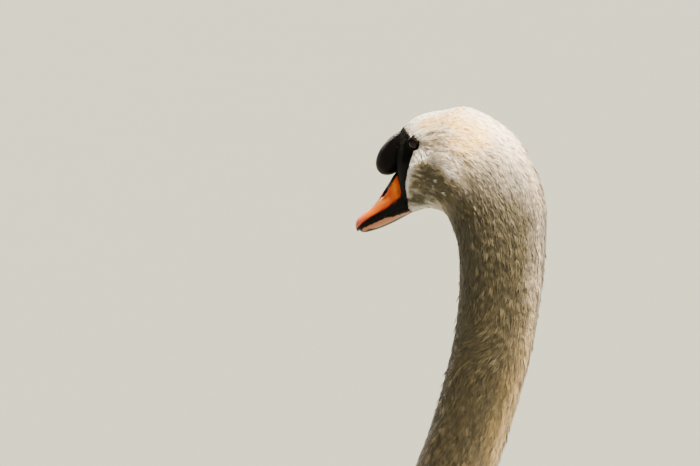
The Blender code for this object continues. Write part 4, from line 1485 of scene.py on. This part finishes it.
def bill_form(rows, side):
    """x, f and u of one half's rings: side is 1 for the upper half and -1 for the lower."""
    t = (1 - np.cos(np.linspace(0, math.pi / 2, BILL_RINGS))) * CROWDED
    t = t + np.linspace(0, 1, BILL_RINGS) * (1 - CROWDED)
    run = curve_through(rows, t * (len(rows) - 1)) * (MM, 1, MM, MM, 1)
    f, slanted, half, tall, roundness = run.T[..., None]
    to_tip = np.clip((f - UPPER_BILL[-1][0] * MM) / HOOK_LENGTH + 1, 0, None)
    base = MOUTH_LINE - side * 0.1 * MM - NAIL_HOOK * to_tip**2
    turn = np.linspace(0, math.pi, BILL_ARCH)
    x = half * np.sign(np.cos(turn)) * np.abs(np.cos(turn)) ** roundness
    up = side * tall * np.abs(np.sin(turn)) ** roundness
    flat = np.linspace(-1, 1, BILL_FLAT + 2)[1:-1]
    x, up = np.concatenate([x, half * flat], axis=1), np.concatenate([up, 0 * half * flat], axis=1)
    return x, f - slanted * ROOT_SLANT * up, base + up


def inside_nostril(f, u):
    """How far inside a nostril's rim a place is: 1 in its middle, 0 on its rim, and less outside."""
    a, b, c, s = f - NOSTRIL[0], u - NOSTRIL[1], math.cos(NOSTRIL_LEAN), math.sin(NOSTRIL_LEAN)
    return 1 - ((a * c + b * s) / NOSTRIL_HALF[0]) ** 2 - ((b * c - a * s) / NOSTRIL_HALF[1]) ** 2


def upper_tint(x, f, u):
    """Orange, pinker towards the tip, with painted highlights and painted shade washed over it, and black at
    the root, nostril, edge and nail.
    """
    orange, pink, black = paints("swan_bill", "orange", "pink", "black")
    soft = 0.7
    tint = over(orange, pink, 0.85 * blend(84, 104, f))
    for f0, u0, along, across, strength, tone in BILL_LIGHT_AND_SHADE:
        tint = over(tint, linear(tone)[:3], strength * spot(f, u, f0, u0, along, across))
    root, nostril, edge = read_line(ROOT_BORDER, u), read_line(NOSTRIL_BORDER, f), read_line(EDGE_BORDER, f)
    dark = blend(root + soft, root - soft, f)
    dark = np.maximum(dark, blend(nostril - soft, nostril + soft, u) * blend(66, 62.5, f + 0.25 * (u + 34)))
    dark = np.maximum(dark, blend(edge + soft, edge - soft, u))
    dark = np.maximum(dark, blend(0.2, 0.4, inside_nostril(f * MM, u * MM)))
    nail = blend(102.5, 104.5, f - 0.02 * x**2) * blend(7.0, 6.0, np.abs(x))
    return over(tint, black, np.maximum(dark, 0.9 * nail))


def lower_tint(x, f, u):
    """Flesh, with a wavy black seam, dark between its branches and under its tip."""
    flesh, black = paints("swan_bill", "flesh", "black")
    seam = read_line(SEAM_BORDER, f) + 0.4 * np.sin(1.3 * f) * np.sin(0.37 * f + 1)
    tint = over(flesh, black, blend(seam - 0.5, seam + 0.5, u))
    front = blend(82, 93, f)
    branches = blend(9.5, 7.5, np.abs(x) - 3 * front) * blend(-57, -58.5, u - 1.6 * front)
    tint = over(tint, black * 3, branches)
    return over(tint, black * 2.5, blend(98, 102, f))


def horn_material(name):
    """Horny sheath of the bill: hard, a little glossy, with fine lines of growth along it."""
    made, tree, shader = new_material(name, {"Roughness": 0.4, "IOR": 1.54})
    tint = add(tree, "ShaderNodeAttribute", attribute_name="tint")
    place = add(tree, "ShaderNodeTexCoord").outputs["Object"]
    along = add(tree, "ShaderNodeMapping", {"Vector": place, "Scale": (1, 0.25, 1)})
    lines = add(tree, "ShaderNodeTexNoise", {"Vector": along, "Scale": 1 / (2.2 * MM), "Detail": 3.0})
    shade = add(tree, "ShaderNodeMapRange", {"Value": lines, "To Min": 0.82, "To Max": 1.16})
    shaded = add(tree, VECTOR_MATH, {0: tint, "Scale": shade}, operation="SCALE")
    bump = add(tree, "ShaderNodeBump", {"Height": lines, "Strength": 0.3, "Distance": 0.3 * MM})
    # The black parts shine less than the orange.
    red = add(tree, "ShaderNodeSeparateColor", {"Color": tint})
    shine = add(tree, "ShaderNodeMapRange", {"Value": red, "From Max": 0.4, "To Min": 0.06, "To Max": 0.13})
    feed(shader, {"Specular IOR Level": shine, "Base Color": shaded, "Normal": bump})
    return made


def leather_material(name, roughness=0.45):
    """Bare leathery skin of the knob and the lids: grained, with a dull shine."""
    looks = {"Base Color": tuple(bpy.context.scene.swan_bill.black), "Roughness": roughness, "IOR": 1.45}
    made, tree, shader = new_material(name, looks | {"Specular IOR Level": 0.07})
    place = add(tree, "ShaderNodeTexCoord").outputs["Object"]
    grain = add(tree, "ShaderNodeTexVoronoi", {"Vector": place, "Scale": 1 / (1.3 * MM)})
    folds = add(tree, "ShaderNodeTexNoise", {"Vector": place, "Scale": 1 / (6 * MM)})
    both = add(tree, MATH, {0: grain, 1: folds}, operation="ADD")
    bump = add(tree, "ShaderNodeBump", {"Height": both, "Strength": 0.5, "Distance": 0.4 * MM})
    feed(shader, {"Normal": bump})
    return made


def closed_tube(name, rings, finish):
    """A piece through rings of points, closed at both ends on a middle point."""
    rows, around = rings.shape[:2]
    points = np.vstack([rings.reshape(-1, 3), rings[0].mean(axis=0), rings[-1].mean(axis=0)])
    piece = new_piece(name, points, tube_faces(rows, around), [finish])
    face_outwards(piece)
    return piece


def colour_tube(piece, tint):
    """Colours a closed tube from a grid of colours over its rings."""
    set_colours(piece, np.vstack([tint.reshape(-1, 3), tint[0].mean(axis=0), tint[-1].mean(axis=0)]))


def make_bill():
    """The upper half with its nostrils, cutting edge and nail, and the lower half."""
    x, f, u = bill_form(UPPER_BILL, 1)
    tint = upper_tint(x / MM, f / MM, u / MM)
    inside = inside_nostril(f, u)
    deep = blend(-0.5, 0.75, inside) * NOSTRIL_DEPTH
    lip = np.exp(-((inside + 0.9) ** 2) / 0.5) * RIM_RISE
    x = x - np.sign(x) * (deep - lip) * (np.abs(x) > 5 * MM)
    groove = np.exp(-(((u - MOUTH_LINE) / MM - 4.2) ** 2) / 1.6) * GROOVE_DEPTH
    x = x - np.sign(x) * groove * blend(108 * MM, 100 * MM, f)
    nail = blend(98 * MM, 100 * MM, f - 15 * x**2) * blend(7.5 * MM, 6.5 * MM, np.abs(x))
    u = u + nail * (u > MOUTH_LINE + 1 * MM) * NAIL_RISE
    upper = closed_tube("upper_bill", bill_place(x, f, u), horn_material("Horn of the upper bill"))
    colour_tube(upper, tint)
    finish_piece(upper, "bill_orange", "bill_upper")
    x, f, u = bill_form(LOWER_BILL, -1)
    lower = closed_tube("lower_bill", bill_place(x, f, u), horn_material("Horn of the lower bill"))
    colour_tube(lower, lower_tint(x / MM, f / MM, u / MM))
    finish_piece(lower, "bill_flesh", "bill_lower")


KNOB_MIDDLE, KNOB_DROOP = (36 * MM, 1.5 * MM), math.radians(26.5)
KNOB_RINGS, KNOB_AROUND = 48, 72


def make_knob():
    """The black knob at the root of the bill: an egg with a shallow furrow down its middle."""
    prefs = bpy.context.scene.swan_bill
    polar = np.linspace(0.02, math.pi - 0.02, KNOB_RINGS)[:, None]
    turn = full_turn(KNOB_AROUND)[None]
    along = np.cos(polar) * np.ones_like(turn)
    across, up = np.sin(polar) * np.sin(turn), np.sin(polar) * np.cos(turn)
    narrow = 1 + 0.19 * along
    dent = 0.035 * hump(across / 0.2) * (up > 0) - 0.03 * np.exp(-((along + 0.35) ** 2) / 0.02)
    x = across * prefs.knob_width / 2 * narrow
    f = along * prefs.knob_length / 2 * (1 - dent)
    u = up * prefs.knob_depth / 2 * narrow * (1 - dent)
    places = bill_place(
        x,
        KNOB_MIDDLE[0] + f * math.cos(KNOB_DROOP) + u * math.sin(KNOB_DROOP),
        KNOB_MIDDLE[1] - f * math.sin(KNOB_DROOP) + u * math.cos(KNOB_DROOP),
    )
    bumps = mottle(places.reshape(-1, 3), 7 * MM, 9).reshape(x.shape)[..., None]
    places = places + unit(places - places.mean(axis=(0, 1))) * bumps * 0.35 * MM
    finish_piece(closed_tube("knob_skin", places, leather_material("Knob leather")), "bare_skin", "knob")


EYE_AROUND, LID_AROUND, LID_TUBE = 48, 64, 12
# The rim of the lids: half its thickness and half its breadth, and how far its middle stands off the eyeball.
RIM_THICK, RIM_BROAD, RIM_OFF = 0.62 * MM, 1.0 * MM, 0.3 * MM


def eye_grid(side, angles, radii, around):
    """Rings round an eye's axis, from its front: a radius from the eye's centre for each angle."""
    axis = eye_axis(side)
    across = unit(np.cross(axis, (0, 0, 1.0)))
    turn = full_turn(around)[:, None]
    ring = np.cos(turn) * across + np.sin(turn) * np.cross(axis, across)
    way = np.cos(angles)[:, None, None] * axis + np.sin(angles)[:, None, None] * ring
    return eye_centre(side) + way * radii[:, None, None]


def eye_material():
    """The cornea is clear, wet and glossy, so that the eye shows sharp highlights over its dark iris."""
    looks = {"Roughness": 0.07, "IOR": 1.376, "Specular IOR Level": 0.3}
    made, tree, shader = new_material("Cornea over a brown iris", looks)
    feed(shader, {"Base Color": add(tree, "ShaderNodeAttribute", attribute_name="tint")})
    return made


def make_eyes():
    """Eyeballs with a dark brown iris round the pupil, and the rims of the lids."""
    cornea, lid = eye_material(), leather_material("Lid leather", 0.7)
    pupil, iris = (np.array(linear(tone))[:3] for tone in ("#010101", "#120704"))
    angles = np.concatenate([np.linspace(0.01, 0.8, 24), np.linspace(0.9, math.pi - 0.01, 20)])
    radii = EYE_RADIUS * (1 + 0.05 * np.clip(1 - (angles / 0.55) ** 2, 0, 1))
    tones = over(over(pupil, iris, blend(0.24, 0.27, angles)), pupil, blend(0.62, 0.68, angles))
    tube = full_turn(LID_TUBE)
    rim_angles = EYE_OPENING + 0.02 + RIM_BROAD * np.cos(tube) / EYE_RADIUS
    rim_radii = EYE_RADIUS + RIM_OFF + RIM_THICK * np.sin(tube)
    quads = grid_faces(LID_AROUND + 1, LID_TUBE, True) % (LID_AROUND * LID_TUBE)
    for side, name in ((1, "left"), (-1, "right")):
        ball = closed_tube(f"eyeball_{name}", eye_grid(side, angles, radii, EYE_AROUND), cornea)
        colour_tube(ball, np.repeat(tones[:, None], EYE_AROUND, axis=1))
        finish_piece(ball, "eye", f"eye_{name}")
        lids = eye_grid(side, rim_angles, rim_radii, LID_AROUND).transpose(1, 0, 2).reshape(-1, 3)
        rim = new_piece(f"lid_rim_{name}", lids, quads if side > 0 else quads[:, ::-1], [lid])
        finish_piece(rim, "bare_skin")


# ---- legs and feet ----

HEEL = (112 * MM, 172 * MM)
TOE_ANGLES = np.radians([-24, 3, 27])
TOE_LENGTHS = np.array([96, 132, 122]) * MM
TOE_HALF_WIDTH, TOE_HEIGHT, WEB_HEIGHT, TOE_ROOT = 6 * MM, 11 * MM, 3 * MM, 9 * MM
# How many faces a foot has round its fan and out from its heel, and a claw along and round it.
FOOT_FAN, FOOT_OUT, CLAW_RINGS, CLAW_AROUND = 84, 40, 10, 12
FAN_ROOM = math.radians(3)  # how far the web reaches past the outer toes
TOE_JOINTS = np.array([2.6, 3.5, 4.4])  # how many swellings each toe has
SHANK_RINGS, SHANK_AROUND = 60, 32
# The shank from the heel up into the flank: x, y, z and radius in millimetres.
SHANK_RUN = [
    (112, 168, 9, 7.5),
    (112, 185, 9, 8.5),
    (110, 215, 13, 7),
    (106, 250, 24, 7.5),
    (103, 272, 36, 9.5),
    (96, 256, 64, 12),
    (92, 247, 92, 13),
]


def foot_reach(angle):
    """How far the foot reaches at an angle: the toes' lengths, with the web's edge drawn in between them."""
    off = np.abs(angle[..., None] - TOE_ANGLES) / (TOE_ANGLES[1] - TOE_ANGLES[0])
    reach = TOE_LENGTHS * (1 - 0.75 * np.minimum(off, 0.5))
    return np.where(off < 1, reach, 0).max(axis=-1)


def make_foot(name, side, finish):
    """One webbed foot: three toes that swell at their joints, with thin folded web between them."""
    prefs = bpy.context.scene.swan_feet
    angle = np.linspace(TOE_ANGLES[0] - FAN_ROOM, TOE_ANGLES[-1] + FAN_ROOM, FOOT_FAN)[:, None]
    share = np.linspace(0, 1, FOOT_OUT)[None]
    out = TOE_ROOT + (foot_reach(angle) - prefs.claw_length * 0.7 - TOE_ROOT) * share
    off = np.abs(angle[..., None] - TOE_ANGLES) * out[..., None]
    which = off.argmin(axis=-1)
    joints = 1 + 0.10 * np.cos(2 * math.pi * out / TOE_LENGTHS[which] * TOE_JOINTS[which])
    wide = TOE_HALF_WIDTH * joints * (1 - 0.3 * share)
    ridge = np.sqrt(np.clip(1 - (off.min(axis=-1) / wide) ** 2, 0, 1))
    taper = 1 - 0.45 * share
    folds = 0.35 * MM * np.sin(out / (3.2 * MM)) * (1 - ridge)
    top = WEB_HEIGHT * taper + (TOE_HEIGHT * joints**0.5 - WEB_HEIGHT) * taper * ridge + folds * share
    top = top * np.where(ridge > 0, 1, blend(1.0, 0.94, share) * 0.7 + 0.3)
    x, y = side * (HEEL[0] + out * np.sin(angle)), HEEL[1] - out * np.cos(angle)
    upper, under = (np.stack([x, y, z], -1) for z in (top, 0 * top + 0.2 * MM))
    foot = closed_tube(f"foot_skin_{name}", np.concatenate([upper, under[:, ::-1]], axis=1), finish)
    skin, web = paints("swan_feet", "skin", "web")
    tint = over(web, skin, np.concatenate([ridge, ridge[:, ::-1]], axis=1)).reshape(-1, 3)
    set_colours(foot, np.vstack([tint, skin, skin]))
    finish_piece(foot, "leg_skin", f"foot_{name}")


def make_claws(name, side, finish):
    """Three blunt claws, each bent down a little."""
    claw_length = bpy.context.scene.swan_feet.claw_length
    turn = full_turn(CLAW_AROUND)[None, :, None]
    share = np.linspace(0, 1, CLAW_RINGS)
    radius = 3.1 * MM * np.sqrt(1 - share**1.6).clip(0.06)
    each = CLAW_RINGS * CLAW_AROUND
    end = np.arange(CLAW_AROUND)
    cells = [*grid_faces(CLAW_RINGS, CLAW_AROUND, True), end, each - 1 - end]
    points, faces = [], []
    for k, (angle, long) in enumerate(zip(TOE_ANGLES, TOE_LENGTHS)):
        ahead = np.array([side * math.sin(angle), -math.cos(angle), 0])
        across = np.cross(ahead, (0, 0, 1.0))
        middle = np.array([side * HEEL[0], HEEL[1], 0]) + ahead * (long - claw_length * (1 - share))[:, None]
        middle[:, 2] = (3.6 - 2.6 * share**2) * MM
        ring = np.cos(turn) * across * 0.8 + np.sin(turn) * np.array([0, 0, 1.0])
        points.append((middle[:, None] + ring * radius[:, None, None]).reshape(-1, 3))
        faces += [cell + k * each for cell in cells]
    piece = new_piece(f"claws_{name}", np.concatenate(points), faces, [finish])
    face_outwards(piece)
    finish_piece(piece, "leg_skin")


def scale_material():
    """Leathery skin in small flat scales, as on a water bird's legs. It keeps a damp, dull shine."""
    made, tree, shader = new_material("Scaled leg skin", {"Roughness": 0.5, "IOR": 1.45})
    tint = add(tree, "ShaderNodeAttribute", attribute_name="tint")
    cells = {"Vector": add(tree, "ShaderNodeTexCoord").outputs["Object"], "Scale": 1 / (3.4 * MM)}
    edges = add(tree, "ShaderNodeTexVoronoi", cells, feature="DISTANCE_TO_EDGE")
    flat = add(tree, "ShaderNodeMapRange", {"Value": edges, "From Max": 0.22})
    bump = add(tree, "ShaderNodeBump", {"Height": flat, "Strength": 0.6, "Distance": 0.5 * MM})
    shade = add(tree, "ShaderNodeMapRange", {"Value": flat, "To Min": 0.6, "To Max": 1.1})
    shaded = add(tree, VECTOR_MATH, {0: tint, "Scale": shade}, operation="SCALE")
    feed(shader, {"Base Color": shaded, "Normal": bump})
    return made


def claw_material():
    """Claws are dense horn: dark, smooth and a little glossier than the skin round them."""
    claw = tuple(bpy.context.scene.swan_feet.claw)
    return new_material("Claw horn", {"Base Color": claw, "Roughness": 0.35, "IOR": 1.54})[0]


def make_shank(name, side, finish):
    """The lower leg from the heel up into the flank's feathers, a little flatter than round."""
    run = curve_through(np.array(SHANK_RUN) * MM, np.linspace(0, len(SHANK_RUN) - 1, SHANK_RINGS))
    middle, radius = run[:, :3] * (side, 1, 1), run[:, 3]
    ahead = unit(np.gradient(middle, axis=0))
    across = unit(np.cross(ahead, np.array([1.0, 0, 0])))
    other = np.cross(ahead, across)
    turn = full_turn(SHANK_AROUND)[None, :, None]
    ring = np.cos(turn) * across[:, None] + np.sin(turn) * other[:, None] * 0.88
    leg = closed_tube(f"shank_skin_{name}", middle[:, None] + ring * radius[:, None, None], finish)
    (skin,) = paints("swan_feet", "skin")
    set_colours(leg, np.broadcast_to(skin, (len(leg.data.vertices), 3)))
    finish_piece(leg, "leg_skin", f"leg_{name}")


# ---- operators ----


class SWAN_OT_body(bpy.types.Operator):
    """Make the one skin of the bird, its coat of contour feathers, and the vanes of the wings and tail"""

    bl_idname = "swan.body"
    bl_label = "Skin and plumage"

    def execute(self, context):
        hide = Hide()
        skin = make_skin(hide)
        make_coats(hide, skin)
        vanes = vane_material()
        make_wings(hide, vanes)
        make_mantle(hide, vanes)
        make_tail(hide, vanes)
        return {"FINISHED"}


class SWAN_OT_bill(bpy.types.Operator):
    """Make both halves of the bill and the knob"""

    bl_idname = "swan.bill"
    bl_label = "Bill and knob"

    def execute(self, context):
        make_bill()
        make_knob()
        return {"FINISHED"}


class SWAN_OT_eyes(bpy.types.Operator):
    """Make the eyeballs and the rims of the lids"""

    bl_idname = "swan.eyes"
    bl_label = "Eyes"

    def execute(self, context):
        make_eyes()
        return {"FINISHED"}


class SWAN_OT_feet(bpy.types.Operator):
    """Make the shanks, the webbed feet and the claws"""

    bl_idname = "swan.feet"
    bl_label = "Legs and feet"

    def execute(self, context):
        scales, claw = scale_material(), claw_material()
        for side, name in ((1, "left"), (-1, "right")):
            make_shank(name, side, scales)
            make_foot(name, side, scales)
            make_claws(name, side, claw)
        return {"FINISHED"}


class SWAN_OT_stage(bpy.types.Operator):
    """Make the floor, the lights and the camera"""

    bl_idname = "swan.stage"
    bl_label = "Stage"

    def execute(self, context):
        make_stage(context.scene.swan_stage)
        return {"FINISHED"}


def way_to(turn, height):
    """Which way a place lies from the bird: turned this far round from its front, and this high."""
    return Vector((math.sin(turn) * math.cos(height), -math.cos(turn) * math.cos(height), math.sin(height)))


def make_stage(prefs):
    """A wide floor, the camera, three lamps and an even sky."""
    turn = full_turn(FLOOR_SIDES)
    points = np.column_stack([np.cos(turn), np.sin(turn), 0 * turn]) * FLOOR_RADIUS
    floor = new_piece("floor", points, [range(FLOOR_SIDES)], [floor_material(prefs)], smooth=False)
    scene = bpy.context.scene
    way = way_to(prefs.turn, prefs.height)
    camera = bpy.data.objects.new("camera", bpy.data.cameras.new("camera"))
    camera.data.lens = prefs.lens
    camera.data.clip_end = 500
    camera.location = Vector((EYE_CENTRE * (0, 1, 1)) + AIM_FROM_EYES) + way * prefs.distance
    camera.rotation_euler = way.to_track_quat("Z", "Y").to_euler()
    scene.collection.objects.link(camera)
    scene.camera = camera
    for name, bearings, strength, spread, tone in LAMPS:
        data = bpy.data.lights.new(name, "SUN")
        data.energy, data.angle, data.color = strength, math.radians(spread), linear(tone)[:3]
        lamp = bpy.data.objects.new(name, data)
        lamp.rotation_euler = way_to(*np.radians(bearings)).to_track_quat("Z", "Y").to_euler()
        scene.collection.objects.link(lamp)
    scene.world = bpy.data.worlds.new("studio")
    scene.world.use_nodes = True
    feed(scene.world.node_tree.nodes["Background"], {"Color": linear(SKY), "Strength": SKY_STRENGTH})


FLOOR_RADIUS, FLOOR_SIDES = 60.0, 96
AIM_FROM_EYES = np.array([72.7, -39.4, -82.6]) * MM
# Each lamp: its name, where its light comes from as turn and height, its strength, how soft it is, and its
# tone. The angles are in degrees.
LAMPS = [
    ("key", (180, 70), 37, 20, "#FFF0DC"),
    ("fill", (105, 30), 0.4, 80, "#FFF3E2"),
    ("rim", (330, 20), 3.2, 8, "#FFF3E2"),
]
SKY, SKY_STRENGTH = "#E9EAE8", 0.3


def floor_material(prefs):
    """Matt studio paper: no gloss, and the faintest mottling."""
    made, tree, shader = new_material("Matt studio paper", {"Roughness": 0.9})
    place = add(tree, "ShaderNodeTexCoord").outputs["Object"]
    cloud = add(tree, "ShaderNodeTexNoise", {"Vector": place, "Scale": 6.0, "Detail": 3.0})
    low = tuple(0.97 * c for c in prefs.floor[:3]) + (1,)
    mix = add(tree, "ShaderNodeMix", {"Factor": cloud, 6: low, 7: tuple(prefs.floor)}, data_type="RGBA")
    feed(shader, {"Base Color": mix.outputs[2]})
    return made


class SWAN_PT_panel(bpy.types.Panel):
    """Lists the pieces in the order that they are made"""

    bl_label = "Mute swan"
    bl_idname = "SWAN_PT_panel"
    bl_space_type = "VIEW_3D"
    bl_region_type = "UI"
    bl_category = "Swan"

    def draw(self, context):
        for step in STEPS:
            self.layout.operator(step.bl_idname)
        for key, group in SETTINGS.items():
            box = self.layout.box()
            for prop in group.__annotations__:
                box.prop(getattr(context.scene, key), prop)


SETTINGS = {
    "swan_plumage": SwanPlumage,
    "swan_bill": SwanBill,
    "swan_feet": SwanFeet,
    "swan_stage": SwanStage,
}
STEPS = (SWAN_OT_body, SWAN_OT_bill, SWAN_OT_eyes, SWAN_OT_feet, SWAN_OT_stage)


def register():
    for group in (*SETTINGS.values(), *STEPS, SWAN_PT_panel):
        bpy.utils.register_class(group)
    for key, group in SETTINGS.items():
        setattr(bpy.types.Scene, key, bpy.props.PointerProperty(type=group))


def unregister():
    for key in SETTINGS:
        delattr(bpy.types.Scene, key)
    for group in (SWAN_PT_panel, *reversed(STEPS), *reversed(SETTINGS.values())):
        bpy.utils.unregister_class(group)


def main():
    """Makes the pieces in order."""
    register()
    for step in STEPS:
        module, name = step.bl_idname.split(".")
        getattr(getattr(bpy.ops, module), name)()


if __name__ == "__main__":
    main()
